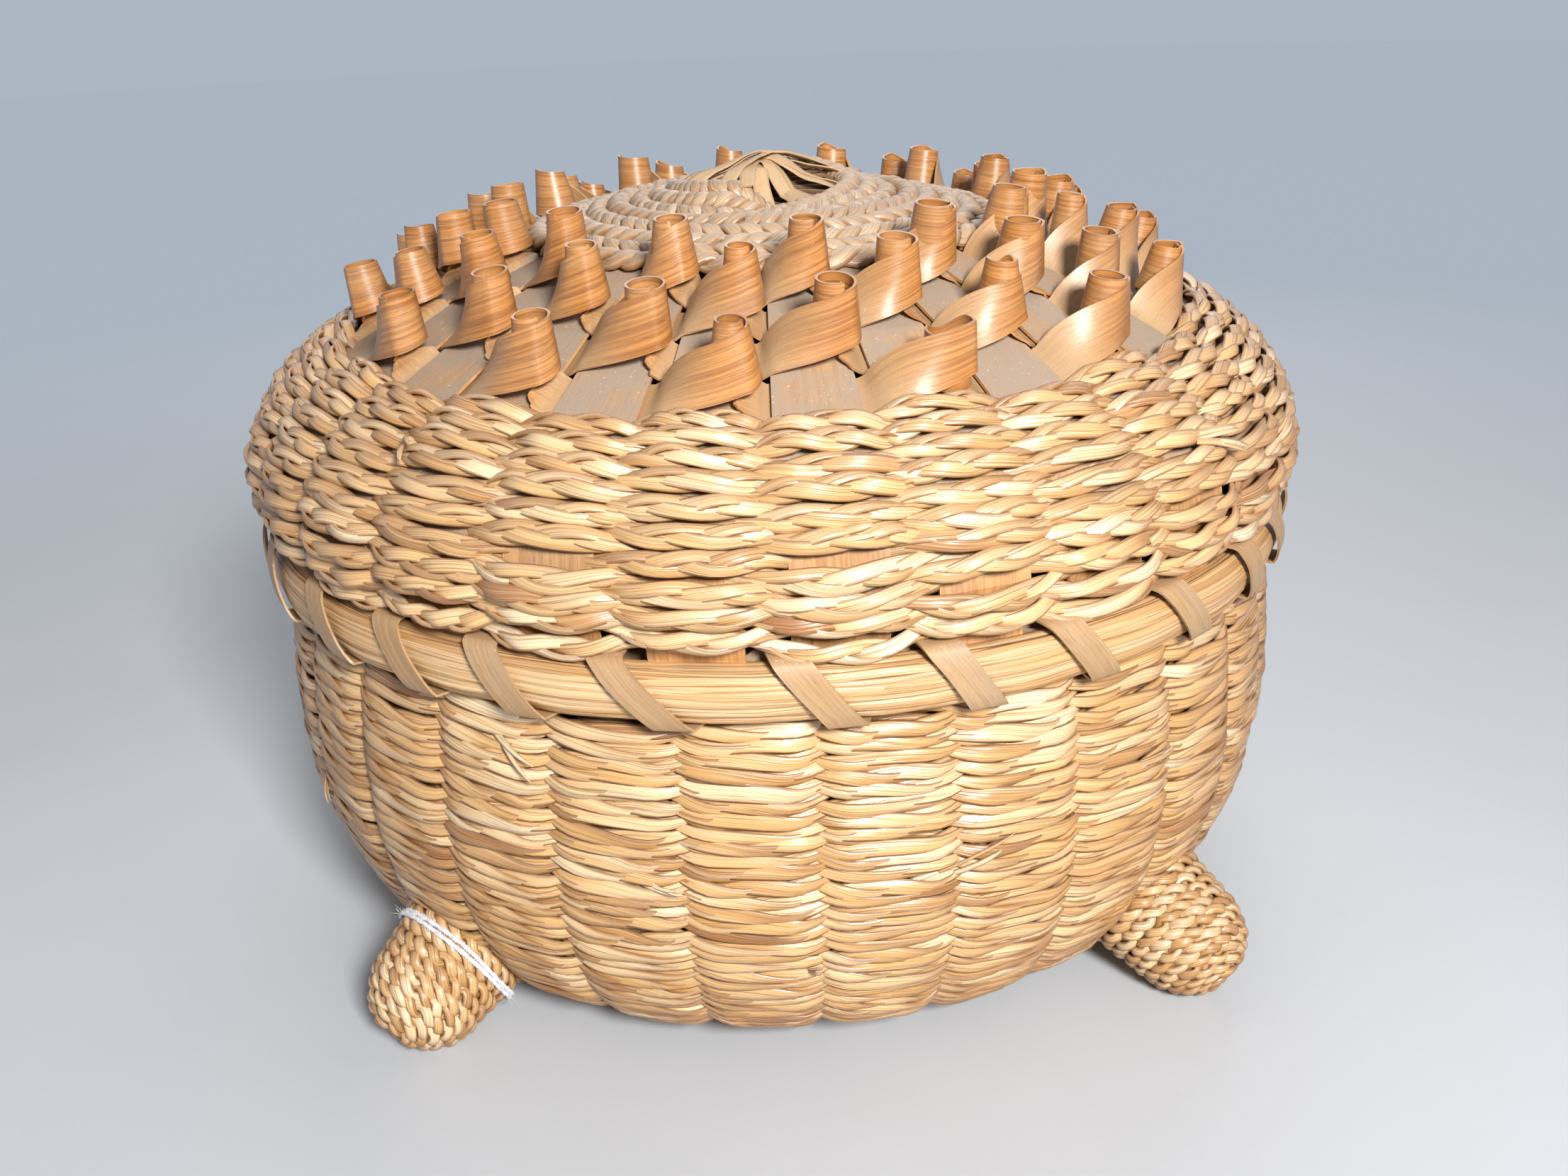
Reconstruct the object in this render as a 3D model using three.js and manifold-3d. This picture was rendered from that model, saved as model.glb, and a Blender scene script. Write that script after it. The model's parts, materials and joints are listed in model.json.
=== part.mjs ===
// Round sewing basket with a lift-off lid. Sweetgrass is woven over ash splints, the lid has four rows of
// upright ash curls, and the basket stands on four small woven cones.
// Millimetres, +Z up. The origin is on the table, under the middle of the basket.
// An azimuth is counted from the front (-Y) towards the right (+X).
import * as THREE from "three";
import { mergeVertices } from "three/addons/utils/BufferGeometryUtils.js";
import Module from "manifold-3d";

// Stock sizes that all the pieces share
const clearance = 0.3; // kept between two pieces that touch
const splintThick = 0.5;
const splintSlot = 6.7; // between two upright splints at the rim of the lid
const splintFillShare = 0.82; // width of a splint in the fan, as a share of the room it has
const throughSplints = 14; // each runs up one side, over the middle and down the other
const hoopThick = 1.2;
const lashingThick = 0.4;
const lashingPlay = 1.2; // what a slot between two splints is wider than the lashing in it

// Basket body
const bowlRadius = 97; // at the widest place
const bowlBottom = 6; // underside above the table
const bowlWallHeight = 65.7; // underside to the ledge that carries the lid
const bowlWallThick = 3;
const bowlHubRise = 2.4; // middle of the crossed splints above the splints around it
const bowlTurn = -3.4; // azimuth of the front splint, degrees
const bowlRimHeight = 10; // hoops that stand up inside the lid
const bowlLobeDeep = 1.1; // valley between two splint columns

// Lid
const lidBulge = 2.6; // widest place of the lid, past its rim
const lidWallHeight = 34.1; // lower edge of the woven wall to its upper edge
const lidWallThick = 3;
const lidLobeDeep = 0.8;
const lidTurn = -7.6; // azimuth of the front splint, degrees
const lidRimHeight = 8;
const lidRimThick = 2.8; // bundle of stems
const lidRimEdge = 1.5; // rounding of the bundle's edges, up and down
const lidRimRound = 0.8; // rounding of the bundle's edges, inwards
const lidFit = 1.2; // play between the two rims

// Dome of the lid: two slopes with two rows of curls each, then the twined ring, then crossed splints
const outerPitch = 27.9; // degrees
const innerPitch = 20; // degrees
const ringPitch = 14.8; // degrees
const ringWide = 19.5;
const ringThick = 2.2;
const lidHubRise = 2.3; // middle of the crossed splints above the inner edge of the ring
const hubShare = 0.48; // flat middle of the crossed splints, as a share of the room inside the ring
const hubGap = 0.1; // between two crossed splints

// Curls: one long splint a row, over and under the uprights, rolled to a cone on every second one
const curlStripWide = 8.4;
const curlStripThick = 0.5;
const curlEdgeSpace = 0.5; // between the outer row and the woven wall
const curlRowSpace = 0.7; // between two rows
const curlStart = -30; // where the roll begins, degrees from the side that faces the rim
const curlSteps = 6; // points in one turn
const curlFootRadius = 3.7;
const curlTopRadius = 3.1;
const curlWrap = 1.15; // how much narrower the roll is after its turn
const curlShift = 0.2; // axis of the roll, towards the middle of the lid
const curlFootLift = 1.5; // lower edge of the roll above the splints
const curlTopLift = 11.4;
const curlLean = 4; // of the roll, outwards, degrees
const curlInset = 1.6; // axis of the roll from the far edge of its splint
const curlTailShare = 0.76; // half the width of the tail in the roll, as a share of the roll's inside
const stripEdge = 0.25; // how far the strip lies flat past the edge of a splint

// Feet: cones that point out and down
const footTurn = -42.3; // azimuth of the first foot, degrees
const footBaseRadius = 12.8;
const footTipRadius = 10.6;
const footReach = 15.5; // centre of the tip, out from the hidden wide end
const footTipInset = 1.5; // centre of the tip, within the widest place of the basket
const footBaseRise = 12.5; // centre of the wide end above the underside of the basket
const footTipSink = 0.7; // how much of the rounded tip is worn flat
const footSides = 18;
const footTipSteps = 4;
const stringRadius = 0.9;
const stringSides = 6;

// Outlines, from the middle outwards: radius as a share of the widest radius, height as a share of the wall
const bowlOutlineShares = [
  [0.255, 0],
  [0.768, 0],
  [0.862, 0.035],
  [0.93, 0.167],
  [0.976, 0.343],
  [1, 0.563],
  [0.994, 0.822],
  [0.975, 1],
];
const lidOutlineShares = [
  [0.788, 1],
  [0.855, 0.925],
  [0.927, 0.763],
  [0.984, 0.517],
  [1, 0.257],
  [0.976, 0],
];
const bowlLobeShares = [0, 0, 0.6, 1, 1, 1, 1, 0.4];
const lidLobeShares = [0.3, 1, 1, 1, 1, 0.6];

const columns = 2 * throughSplints;
const columnStep = (2 * Math.PI) / columns;
const flatToCorner = 1 / Math.cos(columnStep / 2); // a ring with flats has its corners between the splints
const stripGap = clearance + splintThick / 2 + curlStripThick / 2; // from a splint's middle to a strip's

const finishes = {
  sweetgrass: new THREE.MeshStandardMaterial({ color: 0xcfa86a, roughness: 0.75, metalness: 0 }),
  splint: new THREE.MeshStandardMaterial({ color: 0xab8d62, roughness: 0.7, metalness: 0 }),
  curl: new THREE.MeshStandardMaterial({ color: 0xb9763a, roughness: 0.45, metalness: 0 }),
  bundle: new THREE.MeshStandardMaterial({ color: 0xd3ab60, roughness: 0.65, metalness: 0 }),
  lashing: new THREE.MeshStandardMaterial({ color: 0xa88a62, roughness: 0.6, metalness: 0 }),
  string: new THREE.MeshStandardMaterial({ color: 0xe8e8ea, roughness: 0.9, metalness: 0 }),
};

const radians = THREE.MathUtils.degToRad;

// A point given outwards along an azimuth, sideways to it, and up
function place(outwards, sideways, up, azimuth) {
  const sine = Math.sin(azimuth);
  const cosine = Math.cos(azimuth);
  return new THREE.Vector3(outwards * sine + sideways * cosine, sideways * sine - outwards * cosine, up);
}

// Unit normal on the left of the way from one outline point to the next
function leftNormal(from, to) {
  const way = new THREE.Vector2().subVectors(to, from).normalize();
  return new THREE.Vector2(-way.y, way.x);
}

// An outline moved to its left by a distance, with its corners mitred
function offsetLine(points, distance) {
  return points.map((point, i) => {
    const before = leftNormal(points[Math.max(i - 1, 0)], points[Math.max(i, 1)]);
    const last = points.length - 1;
    const after = leftNormal(points[Math.min(i, last - 1)], points[Math.min(i + 1, last)]);
    const mitre = new THREE.Vector2().addVectors(before, after).normalize();
    return point.clone().addScaledVector(mitre, distance / mitre.dot(before));
  });
}

// The point at a distance from another, down and outwards at a pitch
function downSlope(from, distance, pitch) {
  const angle = radians(pitch);
  return new THREE.Vector2(from.x + distance * Math.cos(angle), from.y - distance * Math.sin(angle));
}

// How far a straight way from a point runs until it crosses an outline for the last time
function lastCrossing(outline, from, way) {
  let far = 0;
  for (let i = 1; i < outline.length; i += 1) {
    const side = new THREE.Vector2().subVectors(outline[i], outline[i - 1]);
    const start = new THREE.Vector2().subVectors(outline[i - 1], from);
    const share = start.cross(way) / way.cross(side);
    if (share >= 0 && share <= 1) far = Math.max(far, start.cross(side) / way.cross(side));
  }
  return far;
}

// Six times the volume inside a surface, below zero where the surface is inside out
function closedVolume(position, index) {
  const [a, b, c] = [new THREE.Vector3(), new THREE.Vector3(), new THREE.Vector3()];
  let volume = 0;
  for (let i = 0; i < index.length; i += 3) {
    a.fromArray(position, 3 * index[i]);
    b.fromArray(position, 3 * index[i + 1]);
    c.fromArray(position, 3 * index[i + 2]);
    volume += a.dot(b.cross(c));
  }
  return volume;
}

// A closed body through a row of sections with as many points each. A loop runs back into its first
// section, and an open row gets two flat ends.
function skin(sections, loop) {
  const sides = sections[0].length;
  const position = sections.flat().flatMap((point) => point.toArray());
  const index = [];
  const rows = loop ? sections.length : sections.length - 1;
  for (let row = 0; row < rows; row += 1) {
    const next = (row + 1) % sections.length;
    for (let side = 0; side < sides; side += 1) {
      const turn = (side + 1) % sides;
      const [a, b] = [row * sides + side, row * sides + turn];
      const [c, d] = [next * sides + turn, next * sides + side];
      index.push(a, b, c, a, c, d);
    }
  }
  if (!loop) {
    const end = (sections.length - 1) * sides;
    for (let side = 1; side < sides - 1; side += 1) {
      index.push(0, side + 1, side);
      index.push(end, end + side, end + side + 1);
    }
  }
  if (closedVolume(position, index) < 0) index.reverse();
  return new THREE.BufferGeometry()
    .setAttribute("position", new THREE.Float32BufferAttribute(position, 3))
    .setIndex(index);
}

// A ring with a flat on each splint: its corners lie between the splints
function flatRing(point, turn) {
  return Array.from({ length: 2 * columns }, (_, i) => {
    const radius = i % 2 ? point.x * flatToCorner : point.x;
    return place(radius, 0, point.y, turn + (i * columnStep) / 2);
  });
}

// A ring that swells over each splint and sinks between two of them
function lobedRing(point, deep, turn) {
  return Array.from({ length: 2 * columns }, (_, i) => {
    const radius = i % 2 ? point.x - deep : point.x;
    return place(radius, 0, point.y, turn + (i * columnStep) / 2);
  });
}

// A hoop of a closed section, with a corner between each two splints
function hoop(section, turn) {
  const rings = section.map((point) =>
    Array.from({ length: columns }, (_, i) =>
      place(point.x * flatToCorner, 0, point.y, turn + (i + 1 / 2) * columnStep),
    ),
  );
  return skin(rings, true);
}

// The rectangle between two radii and two heights
function rectangle(inner, outer, low, high) {
  return [
    new THREE.Vector2(inner, low),
    new THREE.Vector2(outer, low),
    new THREE.Vector2(outer, high),
    new THREE.Vector2(inner, high),
  ];
}

// Room that a splint has at a radius before it meets the next one
function splintRoom(radius) {
  return 2 * radius * Math.tan(columnStep / 2);
}

function splintWidth(radius) {
  return Math.min(splintWide, splintFillShare * splintRoom(radius));
}

// Width of a lashing that goes through between two splints
function lashingWidth(radius) {
  return splintRoom(radius) - splintWidth(radius) - lashingPlay;
}

// A splint that follows a line on one side, crosses the middle at its own height, and follows it back
function throughSplint(line, hubHeight, azimuth) {
  const half = [new THREE.Vector2(hubShare * line[0].x, hubHeight), ...line];
  const mirrored = half.map((point) => new THREE.Vector2(-point.x, point.y)).reverse();
  const path = [...mirrored, ...half];
  const upper = offsetLine(path, splintThick / 2);
  const lower = offsetLine(path, -splintThick / 2);
  const sections = path.map((point, i) => {
    const side = splintWidth(Math.abs(point.x)) / 2;
    return [
      place(upper[i].x, side, upper[i].y, azimuth),
      place(upper[i].x, -side, upper[i].y, azimuth),
      place(lower[i].x, -side, lower[i].y, azimuth),
      place(lower[i].x, side, lower[i].y, azimuth),
    ];
  });
  return skin(sections, false);
}

// Height of a splint in the stack, counted from the middle of the stack
function stackHeight(number) {
  return (number - (throughSplints - 1) / 2) * (splintThick + hubGap);
}

// A flat strip wound around a rim, once for each splint. It goes through the wall between two splints at
// one height, slants along one face, turns round the free edge and slants back along the other face.
function lashing(rim, wide, turn) {
  const half = lashingThick / 2;
  const holeSide = Math.sign(rim.holeHeight - rim.freeHeight);
  const sections = [];
  const add = (radius, height, azimuth, out, up) => {
    const [outerR, innerR] = [radius + out * half, radius - out * half];
    const [outerZ, innerZ] = [height + up * half, height - up * half];
    sections.push([
      place(outerR, wide / 2, outerZ, azimuth),
      place(outerR, -wide / 2, outerZ, azimuth),
      place(innerR, -wide / 2, innerZ, azimuth),
      place(innerR, wide / 2, innerZ, azimuth),
    ]);
  };
  for (let i = 0; i < columns; i += 1) {
    const hole = turn + (i + 1 / 2) * columnStep;
    const splint = hole + columnStep / 2;
    add(rim.outer * flatToCorner, rim.holeHeight, hole, 1, holeSide);
    add(rim.outer, rim.freeHeight, splint, 1, -holeSide);
    add(rim.inner, rim.freeHeight, splint, -1, -holeSide);
    add(rim.inner, rim.holeHeight, hole + columnStep, -1, holeSide);
  }
  return skin(sections, true);
}

// One row of curls. The strip dips under each second splint and rises over the others, where it leaves
// the lid, rolls once round an upright axis, and comes out flat below its own roll.
function curlRow(centre, slope, turn) {
  const across = new THREE.Vector2(-slope.x, -slope.y); // up the slope, to the middle of the lid
  const lift = new THREE.Vector2(-slope.y, slope.x); // away from the lid
  const lean = radians(curlLean);
  const rise = new THREE.Vector2(Math.sin(lean), Math.cos(lean)); // along the axis of a roll
  const half = curlStripWide / 2;
  const edge = splintWidth(centre.x) / 2 + stripEdge;
  const axis = edge - stripEdge - curlInset;
  const point = (sideways, up, off, azimuth) => {
    const spot = centre.clone().addScaledVector(across, up).addScaledVector(lift, off);
    return place(spot.x, sideways, spot.y, azimuth);
  };
  const top = (sideways, inwards, azimuth) => {
    const spot = centre.clone().addScaledVector(rise, curlTopLift);
    return place(spot.x - inwards, sideways, spot.y, azimuth);
  };
  const path = [];
  for (let i = 0; i < columns; i += 2) {
    const under = turn + (i - 1) * columnStep;
    const over = turn + i * columnStep;
    const flat = (sideways, off, azimuth, wide) =>
      path.push([point(sideways, -wide, off, azimuth), point(sideways, wide, off, azimuth)]);
    flat(-edge, -stripGap, under, half);
    flat(edge, -stripGap, under, half);
    flat(-edge, stripGap, over, half);
    for (let step = 0; step <= curlSteps; step += 1) {
      const share = step / curlSteps;
      const angle = radians(curlStart) + 2 * Math.PI * share;
      const low = curlFootRadius - share * curlWrap;
      const high = curlTopRadius - share * curlWrap;
      const [sine, cosine] = [Math.sin(angle), Math.cos(angle)];
      path.push([
        point(axis + low * sine, curlShift - low * cosine, curlFootLift, over),
        top(axis + high * sine, curlShift - high * cosine, over),
      ]);
    }
    flat(axis, stripGap, over, curlTailShare * (curlFootRadius - curlWrap));
    flat(edge, stripGap, over, half);
  }
  return ribbon(path, curlStripThick);
}

// A closed band through a loop of edge pairs, with a thickness across its face
function ribbon(path, thick) {
  const middle = path.map(([low, high]) => new THREE.Vector3().addVectors(low, high).multiplyScalar(1 / 2));
  const sections = path.map(([low, high], i) => {
    const before = middle[(i - 1 + path.length) % path.length];
    const after = middle[(i + 1) % path.length];
    const width = new THREE.Vector3().subVectors(high, low).normalize();
    const into = new THREE.Vector3().subVectors(middle[i], before).normalize();
    const out = new THREE.Vector3().subVectors(after, middle[i]).normalize();
    const faceIn = new THREE.Vector3().crossVectors(width, into).normalize();
    const faceOut = new THREE.Vector3().crossVectors(width, out).normalize();
    const face = faceIn.clone().add(faceOut).normalize();
    const reach = Math.min(thick / 2 / Math.max(face.dot(faceIn), 1 / 2), thick);
    return [
      low.clone().addScaledVector(face, reach),
      high.clone().addScaledVector(face, reach),
      high.clone().addScaledVector(face, -reach),
      low.clone().addScaledVector(face, -reach),
    ];
  });
  return skin(sections, true);
}

const wasm = await Module();
wasm.setup();

// A geometry as a solid that can be joined and cut
function toSolid(geometry) {
  const bare = geometry.clone();
  bare.deleteAttribute("normal");
  bare.deleteAttribute("uv");
  const merged = mergeVertices(bare);
  const mesh = new wasm.Mesh({
    numProp: 3,
    vertProperties: new Float32Array(merged.attributes.position.array),
    triVerts: new Uint32Array(merged.index.array),
  });
  return new wasm.Manifold(mesh);
}

function toGeometry(solid) {
  const mesh = solid.getMesh();
  return new THREE.BufferGeometry()
    .setAttribute("position", new THREE.BufferAttribute(mesh.vertProperties, 3))
    .setIndex(new THREE.BufferAttribute(mesh.triVerts, 1));
}

const basket = new THREE.Group();
const body = new THREE.Group();
const lid = new THREE.Group();
basket.add(body, lid);

function addPiece(group, name, geometry, finish) {
  const mesh = new THREE.Mesh(geometry, finish);
  mesh.name = name;
  group.add(mesh);
}

// Lid rim, flush with the widest place of the basket; from the outside in: bundle, splints, hoop, lashing
const lidRimRadius = bowlRadius;
const bowlTop = bowlBottom + bowlWallHeight;
const lidRimLow = bowlTop + 2 * clearance + lashingThick;
const lidRimHigh = lidRimLow + lidRimHeight;
const lidWallLow = lidRimHigh + 2 * clearance + lashingThick;
const lidRimInnerFace = lidRimRadius - lidRimThick;
const splintWide = splintRoom(lidRimInnerFace) - splintSlot; // upright splint in a wall
const lidHoopOuter = lidRimInnerFace - 2 * clearance - splintThick;
const lidHoopInner = lidHoopOuter - hoopThick;
const lidInnermost = lidHoopInner - clearance - lashingThick;

// Basket rim, which stands inside the lid rim: lashing, hoop, splints, hoop, lashing
const bowlHoopLow = bowlTop + 2 * clearance + lashingThick;
const bowlRimHigh = bowlHoopLow + bowlRimHeight;
const lashingMiddle = clearance + lashingThick / 2;
const bowlLashingOuter = (lidInnermost - lidFit - lashingThick / 2) / flatToCorner;
const bowlHoopOuter = bowlLashingOuter - lashingMiddle;
const bowlSplintFace = bowlHoopOuter - hoopThick;
const bowlInnerHoopOuter = bowlSplintFace - 2 * clearance - splintThick;
const bowlInnerHoopInner = bowlInnerHoopOuter - hoopThick;

// Woven wall of the basket, with its base, outside the splints
const bowlOuter = bowlOutlineShares.map(
  ([out, up]) => new THREE.Vector2(out * bowlRadius, bowlBottom + up * bowlWallHeight),
);
const bowlInner = [
  ...offsetLine(bowlOuter.slice(0, -1), bowlWallThick),
  new THREE.Vector2(bowlSplintFace, bowlTop),
];
const bowlTurnAngle = radians(bowlTurn);
const bowlWall = [
  ...bowlOuter.map((point, i) => lobedRing(point, bowlLobeShares[i] * bowlLobeDeep, bowlTurnAngle)),
  ...bowlInner.map((point) => flatRing(point, bowlTurnAngle)).reverse(),
];
addPiece(body, "basket_woven_wall", skin(bowlWall, true), finishes.sweetgrass);

// Splints of the basket: inside the wall, then up between the two hoops of the rim
const bowlSplintLine = offsetLine(
  [...bowlInner, new THREE.Vector2(bowlSplintFace, bowlRimHigh)],
  clearance + splintThick / 2,
);
const bowlHubHeight = bowlSplintLine[0].y + bowlHubRise;
for (let i = 0; i < throughSplints; i += 1) {
  const azimuth = bowlTurnAngle + i * columnStep;
  const geometry = throughSplint(bowlSplintLine, bowlHubHeight + stackHeight(i), azimuth);
  addPiece(body, "basket_splint_" + (i + 1), geometry, finishes.splint);
}

const bowlRimPieces = [
  ["basket_rim_hoop_outer", bowlSplintFace, bowlHoopOuter],
  ["basket_rim_hoop_inner", bowlInnerHoopInner, bowlInnerHoopOuter],
];
for (const [name, inner, outer] of bowlRimPieces) {
  const section = rectangle(inner, outer, bowlHoopLow, bowlRimHigh);
  addPiece(body, name, hoop(section, bowlTurnAngle), finishes.splint);
}
const bowlRim = {
  outer: bowlLashingOuter,
  inner: bowlInnerHoopInner - lashingMiddle,
  holeHeight: bowlHoopLow - lashingMiddle,
  freeHeight: bowlRimHigh + lashingMiddle,
};
const bowlLashing = lashing(bowlRim, lashingWidth(bowlSplintFace), bowlTurnAngle);
addPiece(body, "basket_rim_lashing", bowlLashing, finishes.lashing);

// Feet: cones with a round tip, cut to the wall of the basket and worn flat where they stand
const footTipOut = bowlRadius - footTipInset;
const footBaseOut = footTipOut - footReach;
const footBaseHeight = bowlBottom + footBaseRise;
const footTipHeight = footTipRadius - footTipSink;
const footLength = Math.hypot(footTipOut - footBaseOut, footBaseHeight - footTipHeight);
const footProfile = [new THREE.Vector2(0, 0), new THREE.Vector2(footBaseRadius, 0)];
for (let step = 0; step <= footTipSteps; step += 1) {
  const angle = (Math.PI / 2) * (step / footTipSteps);
  const tip = new THREE.Vector2(footTipRadius * Math.cos(angle), footLength + footTipRadius * Math.sin(angle));
  footProfile.push(tip);
}
footProfile.at(-1).x = 0;
const footCutter = toSolid(
  skin(
    offsetLine(bowlOuter, -clearance).map((point, i) =>
      lobedRing(point, bowlLobeShares[i] * bowlLobeDeep, bowlTurnAngle),
    ),
    false,
  ),
);
const tableDeep = 2 * footTipRadius;
const table = toSolid(
  new THREE.BoxGeometry(4 * bowlRadius, 4 * bowlRadius, tableDeep).translate(0, 0, -tableDeep / 2),
);

// The string lies around the first foot, close against the wall of the basket
const footBasePoint = new THREE.Vector2(footBaseOut, footBaseHeight);
const footWay = new THREE.Vector2(footReach, footTipHeight - footBaseHeight).normalize();
const footUpper = new THREE.Vector2(-footWay.y, footWay.x);
const stringPoint = footBasePoint
  .clone()
  .addScaledVector(footUpper, footBaseRadius + clearance + 2 * stringRadius);
const stringAlong = lastCrossing(bowlOuter, stringPoint, footWay) + stringRadius + clearance;
const stringShare = stringAlong / footLength;
const stringProfile = Array.from({ length: stringSides + 1 }, (_, i) => {
  const angle = (2 * Math.PI * (i % stringSides)) / stringSides;
  const footRadius = THREE.MathUtils.lerp(footBaseRadius, footTipRadius, stringShare);
  const around = footRadius + clearance + stringRadius;
  return new THREE.Vector2(
    around + stringRadius * Math.cos(angle),
    stringAlong + stringRadius * Math.sin(angle),
  );
});
const feet = ["foot_front_left", "foot_front_right", "foot_back_right", "foot_back_left"];
feet.forEach((name, i) => {
  const azimuth = radians(footTurn) + (i * Math.PI) / 2;
  const base = place(footBaseOut, 0, footBaseHeight, azimuth);
  const tip = place(footTipOut, 0, footTipHeight, azimuth);
  const aim = new THREE.Quaternion().setFromUnitVectors(
    new THREE.Vector3(0, 1, 0),
    new THREE.Vector3().subVectors(tip, base).normalize(),
  );
  const stand = new THREE.Matrix4().compose(base, aim, new THREE.Vector3(1, 1, 1));
  const cone = toSolid(new THREE.LatheGeometry(footProfile, footSides).applyMatrix4(stand));
  addPiece(body, name, toGeometry(cone.subtract(footCutter).subtract(table)), finishes.sweetgrass);
  if (i === 0) {
    const string = new THREE.LatheGeometry(stringProfile, footSides).applyMatrix4(stand);
    addPiece(body, "foot_tie_string", string, finishes.string);
  }
});

// Woven wall of the lid, outside its splints
const lidRadius = lidRimRadius + lidBulge;
const lidTurnAngle = radians(lidTurn);
const lidOuter = lidOutlineShares.map(
  ([out, up]) => new THREE.Vector2(out * lidRadius, lidWallLow + up * lidWallHeight),
);
const lidInner = [
  ...offsetLine(lidOuter, -lidWallThick).slice(0, -1),
  new THREE.Vector2(lidRimInnerFace, lidWallLow),
];
const lidWall = [
  ...lidOuter.map((point, i) => lobedRing(point, lidLobeShares[i] * lidLobeDeep, lidTurnAngle)),
  ...lidInner.map((point) => flatRing(point, lidTurnAngle)).reverse(),
];
addPiece(lid, "lid_braided_wall", skin(lidWall, true), finishes.sweetgrass);

// Splints of the lid: fanned over the dome, inside the wall, then down between the bundle and the hoop
const outerSlope = curlEdgeSpace + 2 * curlStripWide + curlRowSpace + curlRowSpace / 2;
const innerSlope = 2 * (curlStripWide + curlRowSpace);
const shoulder = downSlope(lidInner[0], -outerSlope, outerPitch);
const ringOuter = downSlope(shoulder, -innerSlope, innerPitch);
const ringInner = downSlope(ringOuter, -ringWide, ringPitch);
const lidFace = [ringInner, ringOuter, shoulder, ...lidInner, new THREE.Vector2(lidRimInnerFace, lidRimLow)];
const lidSplintLine = offsetLine(lidFace, -(clearance + splintThick / 2));
const lidHubHeight = ringInner.y + lidHubRise;
for (let i = 0; i < throughSplints; i += 1) {
  const azimuth = lidTurnAngle + i * columnStep;
  const geometry = throughSplint(lidSplintLine, lidHubHeight + stackHeight(i), azimuth);
  addPiece(lid, "lid_splint_" + (i + 1), geometry, finishes.splint);
}

// Twined ring around the middle of the lid
const ringLow = [
  downSlope(ringInner, clearance, ringPitch),
  downSlope(ringOuter, -clearance, ringPitch),
];
const ringHigh = offsetLine(ringLow, ringThick);
const ringSection = [ringLow[0], ringLow[1], ringHigh[1], ringHigh[0]];
addPiece(lid, "lid_twined_ring", hoop(ringSection, lidTurnAngle), finishes.sweetgrass);

// Rows of curls, numbered from the outside in, two on each slope of the dome
const slopes = [
  { from: lidSplintLine[3], to: lidSplintLine[2], first: curlEdgeSpace },
  { from: lidSplintLine[2], to: lidSplintLine[1], first: curlRowSpace / 2 },
];
slopes.forEach(({ from, to, first }, pair) => {
  const slope = new THREE.Vector2().subVectors(from, to).normalize();
  for (let row = 0; row < 2; row += 1) {
    const along = first + curlStripWide / 2 + row * (curlStripWide + curlRowSpace);
    const centre = from.clone().addScaledVector(slope, -along);
    const turn = lidTurnAngle + row * columnStep;
    const number = 2 * pair + row + 1;
    addPiece(lid, "lid_curl_strip_" + number, curlRow(centre, slope, turn), finishes.curl);
  }
});

const bundleSection = [
  new THREE.Vector2(lidRimInnerFace, lidRimLow),
  new THREE.Vector2(lidRimRadius - lidRimRound, lidRimLow),
  new THREE.Vector2(lidRimRadius, lidRimLow + lidRimEdge),
  new THREE.Vector2(lidRimRadius, lidRimHigh - lidRimEdge),
  new THREE.Vector2(lidRimRadius - lidRimRound, lidRimHigh),
  new THREE.Vector2(lidRimInnerFace, lidRimHigh),
];
addPiece(lid, "lid_rim_bundle", hoop(bundleSection, lidTurnAngle), finishes.bundle);
const lidHoopSection = rectangle(lidHoopInner, lidHoopOuter, lidRimLow, lidRimHigh);
addPiece(lid, "lid_rim_hoop_inner", hoop(lidHoopSection, lidTurnAngle), finishes.splint);
const lidRim = {
  outer: lidRimRadius + lashingMiddle,
  inner: lidHoopInner - lashingMiddle,
  holeHeight: lidRimHigh + lashingMiddle,
  freeHeight: lidRimLow - lashingMiddle,
};
const lidLashing = lashing(lidRim, lashingWidth(lidRimInnerFace), lidTurnAngle);
addPiece(lid, "lid_rim_lashing", lidLashing, finishes.lashing);

export default basket;
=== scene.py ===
"""Looks of a round sewing basket with a lift-off lid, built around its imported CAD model.

Grass strands are woven, braided and twined over flat ash splints, and one long splint in each row of the
lid is rolled up into cones. Sizes in the classes are millimetres; meshes are written in metres.
"""

from __future__ import annotations

import json
import logging
import math
from dataclasses import dataclass, field
from enum import Enum
from typing import Iterable, Sequence

import bmesh
import bpy
import numpy as np
from mathutils import Matrix, Vector
from mathutils.bvhtree import BVHTree

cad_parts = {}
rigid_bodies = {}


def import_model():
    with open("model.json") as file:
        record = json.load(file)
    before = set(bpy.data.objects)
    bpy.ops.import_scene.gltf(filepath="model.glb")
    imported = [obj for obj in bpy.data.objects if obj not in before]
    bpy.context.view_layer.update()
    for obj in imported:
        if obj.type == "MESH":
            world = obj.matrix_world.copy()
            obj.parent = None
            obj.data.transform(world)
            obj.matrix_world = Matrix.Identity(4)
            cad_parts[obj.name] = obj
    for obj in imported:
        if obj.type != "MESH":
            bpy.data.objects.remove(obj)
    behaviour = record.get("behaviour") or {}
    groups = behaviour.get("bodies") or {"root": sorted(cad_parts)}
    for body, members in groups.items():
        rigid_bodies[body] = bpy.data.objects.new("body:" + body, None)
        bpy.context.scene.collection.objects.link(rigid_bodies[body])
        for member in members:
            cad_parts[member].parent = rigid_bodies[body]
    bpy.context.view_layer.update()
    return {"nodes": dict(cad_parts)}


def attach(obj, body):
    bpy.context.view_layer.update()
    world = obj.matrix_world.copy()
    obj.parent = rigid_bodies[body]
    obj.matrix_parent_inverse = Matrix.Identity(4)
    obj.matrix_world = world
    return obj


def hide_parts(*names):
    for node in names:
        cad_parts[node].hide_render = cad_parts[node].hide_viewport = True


LOG = logging.getLogger("sewing_basket")
MM = 0.001
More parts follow.
